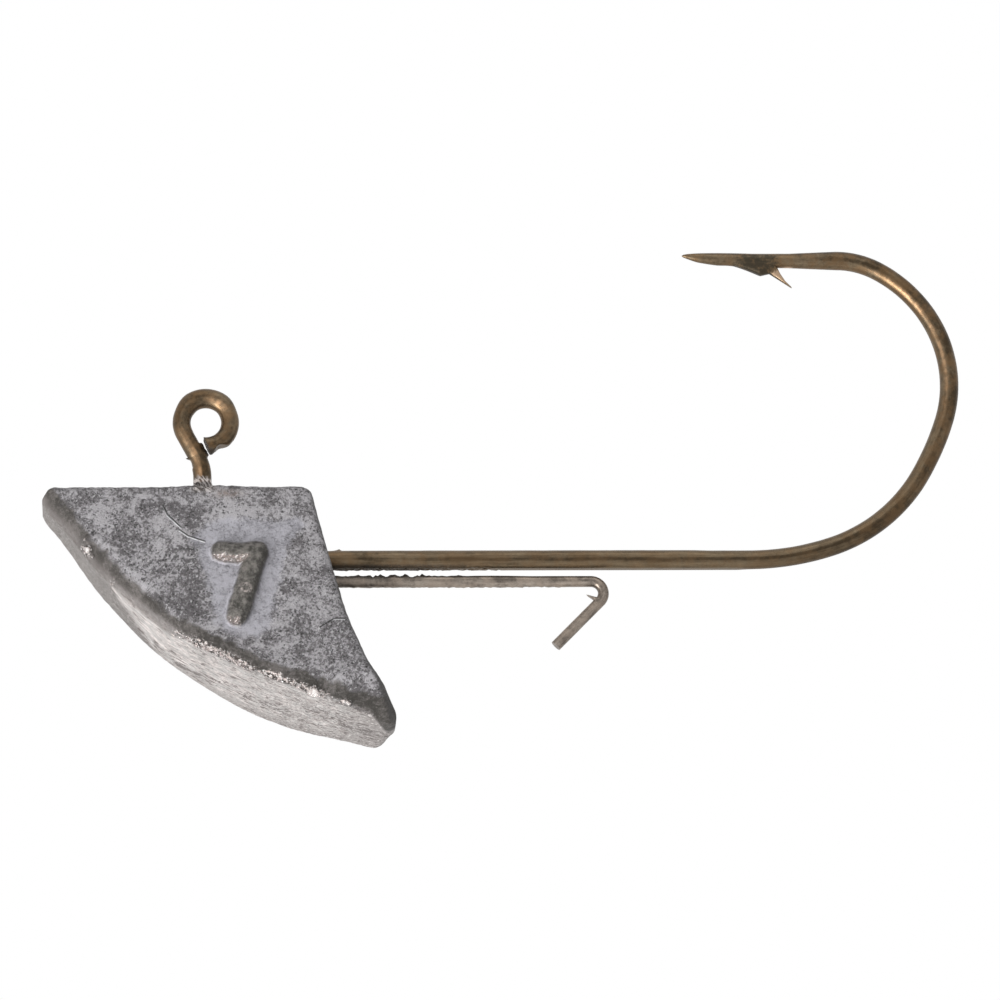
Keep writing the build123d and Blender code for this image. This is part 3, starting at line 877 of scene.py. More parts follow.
def measureLead(co, normals):
    # measures of the plain skin that every later step uses: half the thickness, depth under
    # the sides, near side, clearness of the wires, depth above the keel and length along it
    thick, thinner, lean, topZ = leadSpec["side"]
    m = {"half": thick - thinner * co[:, 0] + lean * (topZ - co[:, 2])}
    m["sideDepth"] = m["half"] - np.abs(co[:, 1])
    m["near"] = co[:, 1] < 0
    m["free"] = fade(wireGap(co), *leadSpec["wireClear"])
    facesDown = (normals[:, 2] < -0.35) & (np.abs(normals[:, 1]) < 0.15)
    keelPoints = co[facesDown & (m["sideDepth"] > 0.6) & (m["free"] > 0.9)]
    keelPoints = keelPoints[np.argsort(keelPoints[:, 0])]
    tree = treeOf(keelPoints * flat)
    found = [tree.find(p) for p in co * flat]
    m["keelDepth"] = np.array([f[2] for f in found])
    line = keelLine(keelPoints)
    runs = np.concatenate([[0.0], np.cumsum(np.linalg.norm(np.diff(line, axis=0), axis=1))])
    m["along"] = np.interp(keelPoints[[f[1] for f in found], 0], line[:, 0], runs)
    return m


def roundFigure(co, normals, edges, m):
    # the raised figure gets a rounded face in place of its steep walls
    s = leadSpec
    gap = figureDistance(co)
    onFigure = m["near"] & (gap < 1.0) & (normals[:, 1] < 0.3) & (m["sideDepth"] < 0.3)
    co = relax(co, edges, onFigure * fade(gap, 1.0, 0.7) * m["free"], 12)
    m["figureGap"] = figureDistance(co)
    dome = np.clip(1.0 - (m["figureGap"] / (s["figureRadius"] + 0.05)) ** 2, 0.0, 1.0) ** 0.75
    face = -(m["half"] + s["figureRelief"] * dome)
    co[:, 1] = np.where(onFigure & (m["figureGap"] < 0.95), face, co[:, 1])
    return co


def setKeel(co, m):
    # the keel lies a little lower or higher, most at its far edge, and the sides fall away to it
    s = leadSpec
    low, tilt, high, back = (np.interp(co[:, 0], s["edgeX"], s[key])
                             for key in ("keelLow", "keelTilt", "edgeHigh", "edgeBack"))
    lower = low + fade(co[:, 1], -1.0, 2.5) * tilt
    lower *= fade(m["keelDepth"], 3.0, 0.0) * m["free"] * fade(co[:, 2], -3.9, -4.7)
    co[:, 2] -= lower
    sag = back * np.clip(1.0 - m["keelDepth"] / high, 0.0, 1.0) ** 2
    sag = sag * np.where(m["near"], 1.0, 1.0 - 0.5 * fade(co[:, 0], 5.8, 7.8))
    wider = m["half"] + s["side"][2] * lower
    co[:, 1] *= 1.0 + m["free"] * ((wider - sag) / m["half"] - 1.0)


def drawCollar(co, m):
    # the lead only just climbs the stem, and its top rises a little towards it
    wire, kept, foot, out, lowest = leadSpec["collar"]
    stemX = hookSpec["stemX"]
    away = np.hypot(co[:, 0] - stemX, co[:, 1])
    drawnIn = np.interp(away, [0.0, wire, foot, out], [0.0, wire, wire + (foot - wire) * kept, out])
    pull = np.where((co[:, 2] > lowest) & (away < out) & (away > wire), drawnIn / np.maximum(away, 0.01), 1.0)
    co[:, 0] = stemX + (co[:, 0] - stemX) * pull
    co[:, 1] *= pull
    lift, stemLift, reach = leadSpec["topLift"]
    co[:, 2] += (lift + stemLift * bell(away, 0.0, reach)) * fade(co[:, 2], -4.3, -3.85) * m["free"]


def roundEnds(co):
    # rounder nose, fuller heel
    s = leadSpec
    radius = s["noseRound"]
    tip, top = co[:, 0].min() + radius, s["side"][3] + s["topLift"][0] - radius
    reach = np.hypot(np.minimum(co[:, 0] - tip, 0.0), np.maximum(co[:, 2] - top, 0.0))
    inCorner = (co[:, 0] < tip) & (co[:, 2] > top) & (reach > radius)
    shrink = np.where(inCorner, radius / np.maximum(reach, 0.01), 1.0)
    for axis, middle in ((0, tip), (2, top)):
        co[:, axis] = np.where(inCorner, middle + (co[:, axis] - middle) * shrink, co[:, axis])
    forwards, middle, height = s["noseSwell"]
    co[:, 0] -= forwards * bell(co[:, 2], middle, height) * fade(co[:, 0], -6.6, -7.4)
    swell = np.interp(co[:, 2], s["heelZ"], s["heelSwell"]) * np.interp(co[:, 1], s["heelY"], s["heelShare"])
    co[:, 0] += swell * fade(co[:, 0], 6.6, 8.3)


def leadZones(co, normals, m):
    # adds the keel's face, the dark band over it, its torn near edge and its chipped far edge
    startX, slant, startY = leadSpec["heelDark"]
    heelDark = fade(co[:, 0] - startX - slant * (co[:, 1] + startY), -0.16, 0.10)
    heelDark = heelDark * fade(co[:, 1], 0.1, -1.0) * m["free"]
    onKeel = fade(np.abs(normals[:, 1]), 0.62, 0.30) * fade(normals[:, 2], -0.15, -0.40) * (1.0 - heelDark)
    band = fade(m["keelDepth"] + 0.25 * noiseAt(co, 0.9, 14), 1.10, 0.42) * (1.0 - onKeel)
    ridge = bell(m["keelDepth"], 0.06, 0.28) * bell(np.maximum(m["sideDepth"] - 0.25, 0.0), 0.0, 0.28)
    farEdge = bell(m["keelDepth"], 0.0, 0.35) * bell(np.maximum(m["sideDepth"] - 0.1, 0.0), 0.0, 0.35)
    m.update(onKeel=onKeel, band=np.maximum(band, heelDark * (co[:, 2] < -15.0)), ridge=ridge,
             shine=ridge * m["near"] * np.interp(m["along"], leadSpec["shineAt"], leadSpec["shine"]),
             farEdge=farEdge * ~m["near"])


def roughened(co, normals, m):
    # the cast skin's waves and grain, the chips of the far edge and the lumps of the near one
    s = leadSpec
    shares = {"castWaves": 1.0 - 0.6 * m["onKeel"], "castRipple": 1.0, "castGrain": 1.0,
              "topRough": fade(co[:, 2], -4.3, -3.9) * m["free"], "ridgeRough": 0.3 * m["ridge"] + m["shine"]}
    height = sum(share * s[key][0] * noiseAt(co, *s[key][1:]) for key, share in shares.items())
    height -= m["farEdge"] * s["farChips"][0] * np.clip(noiseAt(co, *s["farChips"][1:]), 0.0, 1.0)
    m["nubs"] = np.zeros(len(co))
    for middle, radius, rise, bright in s["nubs"]:
        swell = fade(np.linalg.norm(co - np.array(middle), axis=1), radius, 0.0)
        height += rise * swell
        m["nubs"] = np.maximum(m["nubs"], bright * swell)
    co = co + normals * (height * m["free"])[:, None]
    box = np.array(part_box("lead_head")) / metre
    return np.clip(co, box[0], box[1] + np.array([s["heelRoom"], 0.0, 0.0]))


def figureLooks(co, normals, m):
    # the figure, where it is worn and painted bright as lit from below, where it takes painted shade on its
    # side facing away from the light, and its one round mark
    s = leadSpec
    figure = fade(m["figureGap"], s["figureRadius"] + 0.06, s["figureRadius"] - 0.08)
    figure = figure * m["near"] * (m["sideDepth"] < 0.6)
    x, z, radius = s["ringMark"]
    ringX, ringZ = co[:, 0] - x, co[:, 2] - z
    ring = np.abs(np.hypot(ringX, ringZ) - np.where(0.7 * ringX + ringZ > 0.0, radius, radius * 0.5))
    return {"figure": figure,
            "figureWornAndLit": figure * fade(normals[:, 2] * -1.0, -0.14, 0.16) * fade(normals[:, 0], 0.45, 0.10),
            "figureShade": figure * fade(normals[:, 0], 0.15, 0.60),
            "ringMark": fade(ring, 0.10, 0.03) * figure}


def keelLooks(co, m):
    # the keel with its cracks, its band, its torn and dull near edge and its chipped far edge
    along, y = m["along"], co[:, 1]
    cracked = sum(amount * bell(along, length, reachAlong) * bell(y, middle, reachY)
                  for length, middle, reachAlong, reachY, amount in leadSpec["crackClusters"])
    dull = m["ridge"] * m["near"] * fade(along, 10.5, 8.5) * np.clip(1.0 - m["nubs"], 0.0, 1.0)
    return {"keelSpace": np.stack([along, y, m["keelDepth"]], axis=1), "keelFace": m["onKeel"],
            "keelBand": m["band"], "keelRidge": np.maximum(m["shine"], m["nubs"]), "cracked": cracked,
            "dullRidge": dull, "farEdge": m["farEdge"] * fade(along, 4.6, 5.6) * fade(along, 10.5, 8.6)}


def sideLooks(co, normals, m):
    # the sides' rear rim, stain, smooth field, tones, brushed place and marks under the stem
    s = leadSpec
    tree = treeOf(co[(normals[:, 0] > 0.55) & (m["sideDepth"] > 0.8) & (m["free"] > 0.9)] * flat)
    rearGap = np.array([tree.find(p)[2] for p in co * flat])
    onSide = m["near"] & (m["sideDepth"] < 0.8) & (m["keelDepth"] > 0.2)
    wobble = 0.22 * noiseAt(co, 1.3, 11) + 0.12 * noiseAt(co, 5.0, 12)
    darker = sum(amount * spot(co, *place) for *place, amount in s["tones"])
    marks = fade(co[:, 2] + 0.25 * noiseAt(co, 3.0, 16), -3.98, -3.72)
    return {"rim": fade(rearGap, 0.16, 0.02) * fade(np.abs(normals[:, 2]), 0.75, 0.5) * (1.0 - m["onKeel"]),
            "stain": spot(co, *s["stain"]) * m["near"],
            "panel": onSide * fade(outlineDepth(co, s["panel"]) + wobble, -0.20, 0.20),
            "darker": np.where(m["near"], darker, s["farTone"] * darker),
            "brushed": spot(co, *s["brushed"]),
            "toolMarks": marks * fade(np.abs(co[:, 0] - hookSpec["stemX"]), 0.75, 0.35)}


def buildLead(material):
    mesh = remeshed("lead_head")
    co, normals, edges = meshArrays(mesh)
    print("lead skin:", len(co), "vertices")
    measures = measureLead(co, normals)
    co = roundFigure(co, normals, edges, measures)
    setKeel(co, measures)
    drawCollar(co, measures)
    roundEnds(co)
    setPoints(mesh, co)
    co, normals = meshArrays(mesh)[:2]
    leadZones(co, normals, measures)
    setPoints(mesh, roughened(co, normals, measures))
    co, normals = meshArrays(mesh)[:2]
    pointData(mesh, **keelLooks(co, measures), **figureLooks(co, normals, measures),
              **sideLooks(co, normals, measures))
    finishPiece("leadCasting", mesh, "lead_head", material)


leadLook = {
    "pale": (0.488, 0.470, 0.488, 1),
    "dull": (0.124, 0.115, 0.119, 1),
    "speck": (0.035, 0.034, 0.033, 1),
    "fleck": (0.62, 0.61, 0.62, 1),
    "field": (0.470, 0.460, 0.502, 1),
    "fieldDull": (0.275, 0.268, 0.290, 1),
    "bandDark": (0.040, 0.035, 0.029, 1),
    "bandLight": (0.160, 0.143, 0.133, 1),
    # the keel's brown front and bright run: partly wear, partly painted shade and painted light
    "keelFront": (0.170, 0.157, 0.148, 1),
    "keelBright": (0.750, 0.686, 0.660, 1),
    "keelDull": (0.270, 0.243, 0.232, 1),
    "keelGrey": (0.500, 0.480, 0.465, 1),
    "keelShine": (0.80, 0.76, 0.74, 1),
    "keelScore": (0.110, 0.092, 0.086, 1),
    "keelPit": (0.050, 0.042, 0.040, 1),
    "ridgeBright": (0.80, 0.70, 0.665, 1),
    # painted highlight: white glints
    "glint": (1.0, 0.96, 0.94, 1),
    "ridgeDark": (0.088, 0.074, 0.068, 1),
    "ridgeDull": (0.150, 0.132, 0.124, 1),
    "figureDark": (0.052, 0.048, 0.038, 1),
    "figureLight": (0.270, 0.250, 0.225, 1),
    # worn bare lead, also a painted highlight where the figure faces the light
    "wornAndLit": (0.400, 0.340, 0.315, 1),
    "stain": (0.260, 0.205, 0.175, 1),
    "rim": (0.075, 0.070, 0.066, 1),
    "scratchLip": (0.86, 0.86, 0.88, 1),
    "markDark": (0.100, 0.084, 0.075, 1),
    "markLight": (0.66, 0.61, 0.59, 1),
    # noises over the whole casting and along the keel: scale, detail, roughness
    "noises": {"fine": (8.5, 3.0, 0.75), "crisp": (5.0, 5.0, 0.85), "dirty": (3.2, 4.0, 0.75),
               "torn": (4.6, 5.0, 0.75), "glints": (7.5, 3.0, 0.8), "specks": (9.0, 2.0, 0.6),
               "clumps": (1.7, 3.0, 0.6)},
    "keelNoises": {"broad": (0.7, 5.0, 0.65), "tinted": (1.6, 3.0, 0.6), "grit": (5.5, 3.0, 0.8)},
    # scored lines of the near side: corners as X and Z
    "scratches": [[(-2.11, -4.74), (-1.87, -5.29), (-1.24, -5.95)],
                  [(-1.29, -6.11), (-0.90, -6.42), (-0.09, -6.71)],
                  [(5.40, -11.37), (6.10, -10.88), (6.61, -10.87)]],
    "scratchWidth": 0.055,
    "castSlant": 58.0,  # degrees that strokes and flecks of the sides slope
}


def leadSockets(g, place):
    # noises and masks that several parts of the look share
    names = ("keelFace", "keelBand", "keelRidge", "figure", "panel", "darker")
    at = {name: g.attribute(name) for name in names}
    at.update({name: g.noise(place, *values) for name, values in leadLook["noises"].items()})
    mottle = g.group(mottleGroup, {"Vector": place, "Scale": 1.1, "Break Up": 0.8})
    pits = g.group(pitGroup, {"Vector": place, "Scale": 4.6, "Amount": 0.65})
    at["keelSpace"] = g.attribute("keelSpace", "Vector")
    scored = g.group(streakGroup, {"Vector": at["keelSpace"], "Stretch": 0.14, "Scale": 7.5})
    at.update(cloud=mottle["Raw"], patches=mottle["Patches"], pitMask=pits["Mask"], pitHeight=pits["Height"],
              scored=scored["Height"], glinting=g.step(at["glints"], 0.54, 0.59))
    return at


def sideColour(g, place, at):
    # cloudy oxide with specks and flecks, brushed one way beside the figure
    s = leadLook
    strokes = g.noise(g.slanted(place, s["castSlant"], 4.0), 6.5, 3.0, 0.7)
    brushShare = g.grown(g.attribute("brushed"), 0.75, 0.30)
    tone = g.centred(at["crisp"], 1.35, g.centred(at["cloud"], 2.2, 0.54))
    tone = g.centred(at["fine"], 1.8, tone)
    tone = g.calc("ADD", tone, g.times(brushShare, g.centred(strokes, 2.4, 0.0)))
    tone = g.calc("SUBTRACT", tone, at["darker"])
    colour = g.blend(g.step(tone, 0.15, 0.92), s["dull"], s["pale"])
    fieldTone = g.centred(at["cloud"], 1.2, g.centred(at["crisp"], 1.9, 0.64))
    fieldTone = g.calc("SUBTRACT", fieldTone, at["darker"])
    fieldColour = g.blend(g.step(fieldTone, 0.30, 0.80), s["fieldDull"], s["field"])
    offPanel = g.grown(at["panel"], -0.85, 1.0)
    flecks = g.step(g.noise(g.slanted(place, s["castSlant"], 1.8), 9.0, 2.0, 0.6), 0.62, 0.68)
    clumps = g.step(g.centred(at["patches"], -0.25, at["clumps"]), 0.34, 0.62)
    specks = g.times(g.step(at["specks"], 0.56, 0.63), clumps)
    specks = g.times(specks, g.grown(at["panel"], -0.45, 0.9))
    specks = g.highest([specks, g.times(at["pitMask"], g.times(offPanel, 0.85))])
    return g.layered(colour, [(at["panel"], 0.92, fieldColour), (flecks, g.times(offPanel, 0.75), s["fleck"]),
                              (specks, 1.0, s["speck"])])


def bandOver(g, at, colour):
    # the dark band over the keel
    tone = g.centred(at["cloud"], 1.3, g.centred(at["crisp"], 1.5, 0.5))
    tone = g.grown(at["darker"], -0.6, tone)
    bandColour = g.blend(g.step(tone, 0.2, 0.9), leadLook["bandDark"], leadLook["bandLight"])
    edge = g.centred(at["crisp"], 0.7, g.centred(at["cloud"], 0.9, at["keelBand"]))
    return g.layered(colour, [(g.step(edge, 0.28, 0.80), 0.95, bandColour)])


def figureOver(g, at, colour):
    # the figure: dark on top, worn and painted bright as lit where it faces down, with painted shade on its
    # side facing +X and one round mark; then the dark rear rim and a warm stain under the stem
    s = leadLook
    tone = g.centred(at["dirty"], 2.9, g.centred(at["crisp"], 1.0, 0.55))
    # painted shade on the figure's side facing +X, away from the light
    tone = g.grown(g.attribute("figureShade"), -0.30, tone)
    figureColour = g.blend(g.step(tone, 0.1, 1.0), s["figureDark"], s["figureLight"])
    wornLitColour = g.blend(at["glinting"], s["wornAndLit"], s["glint"])
    # worn metal that is also a painted highlight where the figure faces down towards the light
    at["wornAndLit"] = g.times(g.attribute("figureWornAndLit"), g.step(at["torn"], 0.35, 0.50))
    at["ringMark"] = g.times(g.attribute("ringMark"), g.step(at["crisp"], 0.42, 0.53))
    rim = g.times(g.attribute("rim"), g.step(at["crisp"], 0.30, 0.46))
    stain = g.times(g.attribute("stain"), g.step(at["crisp"], 0.36, 0.56))
    return g.layered(colour, [(at["figure"], 0.95, figureColour), (at["wornAndLit"], 0.95, wornLitColour),
                              (at["ringMark"], 0.85, s["ridgeBright"]), (rim, 0.85, s["rim"]),
                              (stain, 0.8, s["stain"])])


def scratchesOver(g, place, at, colour):
    # scored lines on the near side, dark over a light lip
    across = g.split(place)[1]
    shown = g.times(g.calc("LESS_THAN", across, 0.0), g.step(at["crisp"], 0.32, 0.46))
    lines = []
    for corners in leadLook["scratches"]:
        for (x, z), (toX, toZ) in zip(corners, corners[1:]):
            ends = {"Start": (x, 0.0, z), "End": (toX, 0.0, toZ), "Width": leadLook["scratchWidth"]}
            lines.append(g.group(hairlineGroup, {"Vector": place, **ends}))
    light, at["scratch"] = (g.times(g.highest([line[side] for line in lines]), shown)
                            for side in ("Light", "Dark"))
    return g.layered(colour, [(light, 0.95, leadLook["scratchLip"]), (at["scratch"], 0.9, leadLook["speck"])])


def keelColour(g, at):
    # brown-grey at the nose, then rubbed bright, partly painted light where the keel faces the light and
    # painted shade at the nose that faces away; scored, cracked and pitted along its run
    s, space = leadLook, at["keelSpace"]
    along, across = g.split(space)[:2]
    broad, tinted, grit = (g.noise(space, *values) for values in s["keelNoises"].values())
    rubMarks = g.noise(g.drawnOut(space, 0.35), 4.2, 5.0, 0.8)
    streaks = g.group(streakGroup, {"Vector": space, "Stretch": 0.09, "Scale": 3.4})["Height"]
    pits = g.group(pitGroup, {"Vector": space, "Scale": 4.4, "Amount": 0.6})["Mask"]
    # painted light: the keel turns from its brown front to its bright run, partly rubbed metal
    rubbedAndLit = g.step(g.centred(broad, 1.6, g.grown(across, -0.87, along)), 6.1, 7.2)
    later = g.step(g.centred(broad, 5.0, along), 10.0, 17.0)
    bright = g.layered(s["keelBright"], [(later, 0.40, s["keelDull"])])
    bright = g.blend(g.step(tinted, 0.40, 0.60), bright, s["keelGrey"])
    rubbedHalf = g.grown(rubbedAndLit, 0.42, 0.08)
    scoreShare = g.grown(g.step(along, 8.0, 12.0), 0.45, 0.16)
    scoreShare = g.times(scoreShare, g.step(tinted, 0.36, 0.56))
    toFar = g.step(g.centred(broad, 1.2, across), 1.4, 3.2)
    toHeel = g.step(g.centred(broad, 3.0, along), 17.8, 20.2)
    # short dark cracks along the keel, in clusters, most of them towards the heel
    cracks = g.noise(g.drawnOut(space, 0.26), 6.5, 4.0, 0.75)
    cracks = g.centred(tinted, 0.7, g.centred(broad, 0.35, cracks))
    cracks = g.step(g.calc("SUBTRACT", cracks, g.attribute("cracked")), 0.435, 0.375)
    gritShare = g.grown(later, 0.40, 0.25)
    chipped = g.times(g.attribute("farEdge"), g.step(at["crisp"], 0.53, 0.43))
    return g.layered(g.blend(rubbedAndLit, s["keelFront"], bright), [
        (g.step(rubMarks, 0.54, 0.36), g.grown(later, 0.45, 0.40), s["keelDull"]),
        (g.step(rubMarks, 0.54, 0.62), rubbedHalf, s["keelShine"]),
        (g.step(broad, 0.60, 0.36), 0.30, s["keelDull"]),
        (g.step(streaks, 0.0, 0.16), rubbedHalf, s["keelDull"]),
        (g.step(at["scored"], 0.03, 0.10), scoreShare, s["keelScore"]),
        (pits, 0.8, s["keelPit"]), (toFar, 0.72, s["keelDull"]), (toHeel, 0.80, s["keelDull"]),
        (cracks, 0.9, s["keelScore"]), (g.step(grit, 0.44, 0.38), gritShare, s["keelPit"]),
        (g.step(grit, 0.55, 0.61), gritShare, s["keelShine"]), (chipped, 0.9, s["keelPit"])])


def ridgeOver(g, at, colour):
    # torn bright metal between dark hollows on the keel's near edge, with painted white glints, and a painted
    # highlight brightest on its lumps
    s, ridge, torn = leadLook, at["keelRidge"], at["torn"]
    at["onNub"] = g.step(ridge, 0.95, 1.35)
    ridgeColour = g.blend(g.step(torn, 0.49, 0.565), s["ridgeDark"], s["ridgeBright"])
    ridgeColour = g.layered(ridgeColour, [(g.step(ridge, 0.75, 1.15), 0.85, s["ridgeBright"]),
                                          (at["glinting"], 1.0, s["glint"]),
                                          (at["onNub"], g.step(torn, 0.40, 0.52), s["glint"])])
    dull = g.centred(at["crisp"], 1.2, 0.75)
    share = g.step(g.centred(at["crisp"], 1.4, g.centred(at["cloud"], 0.8, ridge)), 0.36, 0.66)
    at["ridge"] = g.times(share, g.step(ridge, 0.04, 0.22))
    return g.layered(colour, [(g.attribute("dullRidge"), dull, s["ridgeDull"]),
                              (at["ridge"], 1.0, ridgeColour)])


def leadMaterial():
    material, g, shader, place = newMaterial("castLead")
    at = leadSockets(g, place)
    colour = figureOver(g, at, bandOver(g, at, sideColour(g, place, at)))
    colour = scratchesOver(g, place, at, colour)
    colour = ridgeOver(g, at, g.blend(at["keelFace"], colour, keelColour(g, at)))
    # tool marks on the lead at the foot of the stem
    marked, marks = g.toolStrokes(place), g.attribute("toolMarks")
    colour = g.blend(marks, colour, g.blend(marked, leadLook["markDark"], leadLook["markLight"]))
    # bare metal shines, oxide does not
    bare, figure, keel = g.highest([at["ridge"], at["wornAndLit"]]), at["figure"], at["keelFace"]
    metal = g.grown(keel, 0.18, g.grown(bare, 0.55, g.grown(figure, 0.40, 0.12)))
    rough = g.grown(keel, -0.12, g.grown(bare, -0.34, g.grown(figure, -0.26, 0.66)))
    rough = g.centred(at["fine"], 0.3, rough)
    g.connect(shader, {"Base Color": colour, "Metallic": metal, "Roughness": rough})
    skin = g.times(at["crisp"], g.calc("SUBTRACT", 1.0, keel))
    skin = g.times(skin, g.grown(at["panel"], -0.07, 0.12))
    ridgeHeight = g.times(g.calc("MINIMUM", at["keelRidge"], 1.0), g.grown(at["onNub"], -0.14, 0.32))
    tornHeight = g.times(at["torn"], g.highest([ridgeHeight, g.times(figure, 0.22)]))
    tornHeight = g.grown(g.times(marked, marks), 0.06, tornHeight)
    cuts = g.grown(at["ringMark"], 0.04, g.times(at["scratch"], -0.03))
    g.bumps(shader, [(skin, 0.8), (g.times(at["pitHeight"], 0.05), 0.8), (tornHeight, 1.0), (cuts, 1.0),
                     (g.times(at["scored"], g.times(keel, 0.05)), 1.0)])
    return material


wireLook = {
    "bronzedWire": {
        "dark": (0.046, 0.031, 0.0165, 1),
        "middle": (0.168, 0.125, 0.078, 1),
        "warm": (0.146, 0.087, 0.042, 1),
        # rubbed copper colour, also a painted highlight
        "rubbedAndLit": (0.66, 0.40, 0.22, 1),
        "forged": (0.034, 0.030, 0.021, 1),
        "strokeDark": (0.110, 0.088, 0.075, 1),
        "strokeLight": (0.66, 0.60, 0.57, 1),
        "fresh": (0.42, 0.295, 0.198, 1),
        "metallic": 0.85,
    },
    "keeperWire": {
        "dark": (0.100, 0.083, 0.069, 1),
        "middle": (0.345, 0.296, 0.250, 1),
        "warm": (0.300, 0.245, 0.200, 1),
        "metallic": 0.80,
    },
    "soot": (0.020, 0.017, 0.014, 1),
}


def hookMarksOver(g, place, copperAndHighlight, colour):
    # rubbed copper with a painted highlight, the rough patch round the barb, tool strokes at the stem's foot,
    # the fresh cut
    s = wireLook["bronzedWire"]
    patchy = g.step(g.noise(place, 3.2, 4.0, 0.65), 0.40, 0.62)
    patch = g.attribute("forgedPatch")
    forged = g.step(g.centred(g.noise(place, 4.2, 4.0, 0.7), 2.6, patch), 0.15, 1.05)
    forged = g.times(forged, g.step(patch, 0.0, 0.35))
    strokeColour = g.blend(g.toolStrokes(place), s["strokeDark"], s["strokeLight"])
    return g.layered(colour, [(copperAndHighlight, g.grown(patchy, 0.9, 0.35), s["rubbedAndLit"]), (forged, 0.86, s["forged"]),
                              (g.attribute("scuffed"), 0.9, strokeColour),
                              (g.attribute("freshCut"), 0.9, s["fresh"])])


def wireMaterial(name):
    s = wireLook[name]
    material, g, shader, place = newMaterial(name)
    space = g.attribute("wireSpace", "Vector")
    line, shade, copperAndHighlight = g.split(g.attribute("wireZones", "Vector"))
    streaks = g.group(streakGroup, {"Vector": space, "Stretch": 0.07, "Scale": 6.0})["Height"]
    mottle = g.group(mottleGroup, {"Vector": place, "Scale": 0.9, "Break Up": 0.7})
    tone = g.centred(mottle["Raw"], g.grown(line, -0.8, 1.6), g.grown(streaks, 1.5, 0.62))
    # a painted thin dark reflection line along the shank, and painted shade on one darker half round the bend
    # and down the stem
    wander = g.grown(g.noise(space, 0.35, 2.0, 0.5), 0.12, -0.06)
    offLine = g.calc("ABSOLUTE", g.calc("SUBTRACT", g.attribute("reflectionLine"), wander))
    drawn = g.times(g.step(offLine, 0.13, 0.03), line)
    tone = g.grown(shade, -0.36, g.grown(drawn, -0.46, tone))
    colour = g.blend(g.step(tone, 0.0, 1.0), s["dark"], s["middle"])
    tint = g.step(g.noise(place, 1.3, 4.0, 0.65), 0.38, 0.62)
    colour = g.layered(colour, [(tint, g.grown(line, -0.35, 0.72), s["warm"])])
    if name == "bronzedWire":
        colour = hookMarksOver(g, place, copperAndHighlight, colour)
    sooty = g.times(g.attribute("sooty"), g.step(mottle["Grain"], 0.36, 0.50))
    colour = g.layered(colour, [(sooty, 0.9, wireLook["soot"])])
    metal = g.grown(sooty, -s["metallic"], s["metallic"])
    rough = g.grown(copperAndHighlight, 0.16, g.grown(mottle["Grain"], 0.16, 0.30))
    g.connect(shader, {"Base Color": colour, "Metallic": metal, "Roughness": g.grown(sooty, 0.45, rough)})
    g.bumps(shader, [(g.times(streaks, 0.02), 0.5), (g.times(mottle["Grain"], 0.004), 0.3)])
    return material


buildHook(wireMaterial("bronzedWire"))
print("hook wire built")
buildKeeper(wireMaterial("keeperWire"))
print("bait keeper built")
buildLead(leadMaterial())
print("lead casting built")


# camera, floor and light

viewSpec = {
    "place": (-3.131, -286.356, -91.682),
    "azimuth": -3.5,
    "rise": 17.0,  # the camera looks up at the part
    "roll": -1.1,
    "lens": 220.408,
    "sensor": 36.0,
    "clip": (0.01, 20.0),
}


def makeCamera():
    s = viewSpec
    turn, rise, roll = (math.radians(s[key]) for key in ("azimuth", "rise", "roll"))
    level = Vector((-math.sin(turn), math.cos(turn), 0.0))
    upright = Vector((0.0, 0.0, 1.0))
    forward = level * math.cos(rise) + upright * math.sin(rise)
    right = Vector((math.cos(turn), math.sin(turn), 0.0))
    up = upright * math.cos(rise) - level * math.sin(rise)
    right, up = right * math.cos(roll) + up * math.sin(roll), up * math.cos(roll) - right * math.sin(roll)
    data = bpy.data.cameras.new("mainView")
    data.lens = s["lens"]
    data.sensor_width = s["sensor"]
    data.clip_start, data.clip_end = s["clip"]
    camera = linked("mainView", data)
    spin = Matrix((right, up, -forward)).transposed().to_4x4()
    camera.matrix_world = Matrix.Translation(Vector(s["place"]) * metre) @ spin
    bpy.context.scene.camera = camera


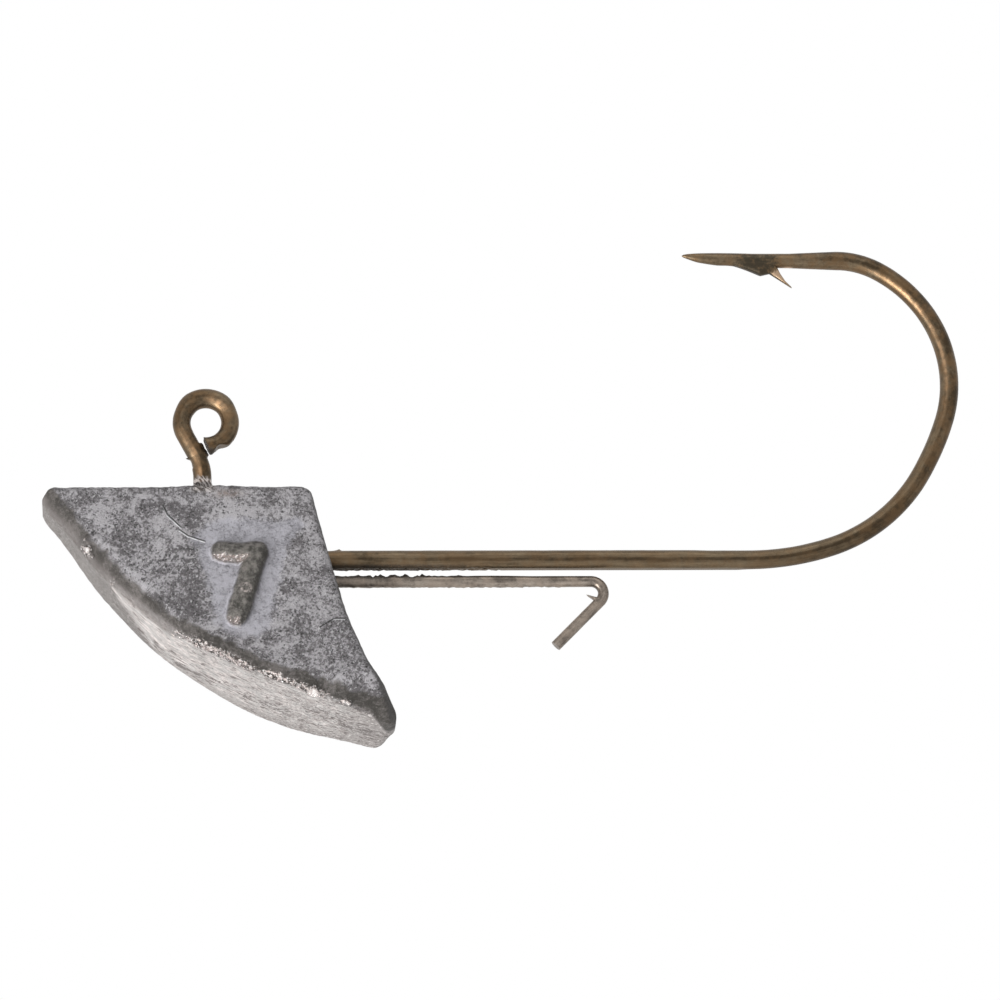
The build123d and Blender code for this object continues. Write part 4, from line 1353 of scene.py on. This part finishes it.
stageSpec = {
    "floorZ": -0.32,
    "floorSize": 4.0,
    "floorColour": (0.90, 0.90, 0.90, 1),
    "floorRough": 0.8,
    "floorGlow": 0.45,
    "skyLight": 0.50,
    "white": (1, 1, 1, 1),
    "lamps": [
        # name, place, aim, size, watts
        ("keyFromLowLeft", (-0.233, -0.187, -0.198), (0.005, 0.0, -0.004), 0.14, 1.3),
        ("fillFromTop", (0.05, -0.20, 0.30), (0.010, 0.0, 0.0), 0.25, 0.15),
    ],
}


def makeFloor():
    s = stageSpec
    bm = bmesh.new()
    place = Matrix.Translation((0.0, 0.0, s["floorZ"]))
    bmesh.ops.create_grid(bm, x_segments=1, y_segments=1, size=s["floorSize"] / 2, matrix=place)
    floor = linked("paleFloor", meshFrom(bm, "paleFloor"))
    paint = bpy.data.materials.new("floorPaint")
    paint.use_nodes = True
    g = Graph(paint.node_tree)
    # metal reflects the floor as white as the backdrop
    mirrored = g.add("ShaderNodeLightPath").outputs["Is Glossy Ray"]
    g.connect(paint.node_tree.nodes["Principled BSDF"], {
        "Base Color": s["floorColour"], "Roughness": s["floorRough"], "Emission Color": s["white"],
        "Emission Strength": g.times(mirrored, s["floorGlow"])})
    floor.data.materials.append(paint)


def makeLamp(name, place, aim, size, watts):
    light = bpy.data.lights.new(name, "AREA")
    light.shape = "DISK"
    light.size = size
    light.energy = watts
    lamp = linked(name, light)
    lamp.location = place
    lamp.rotation_mode = "QUATERNION"
    lamp.rotation_quaternion = (Vector(aim) - Vector(place)).to_track_quat("-Z", "Y")
    lamp.visible_camera = False


def makeSky():
    # full white where the camera, a mirror or glass sees it, dimmer as a light
    world = bpy.data.worlds.new("paleSky")
    world.use_nodes = True
    bpy.context.scene.world = world
    g = Graph(world.node_tree)
    rays = g.add("ShaderNodeLightPath").outputs
    seen = g.highest([rays[kind] for kind in ("Is Camera Ray", "Is Glossy Ray", "Is Transmission Ray")])
    strength = g.grown(seen, 1.0 - stageSpec["skyLight"], stageSpec["skyLight"])
    g.connect(world.node_tree.nodes["Background"], {"Color": stageSpec["white"], "Strength": strength})


makeCamera()
makeFloor()
for lamp in stageSpec["lamps"]:
    makeLamp(*lamp)
makeSky()
bpy.context.scene.view_settings.view_transform = "Standard"
print("camera, floor and light set")
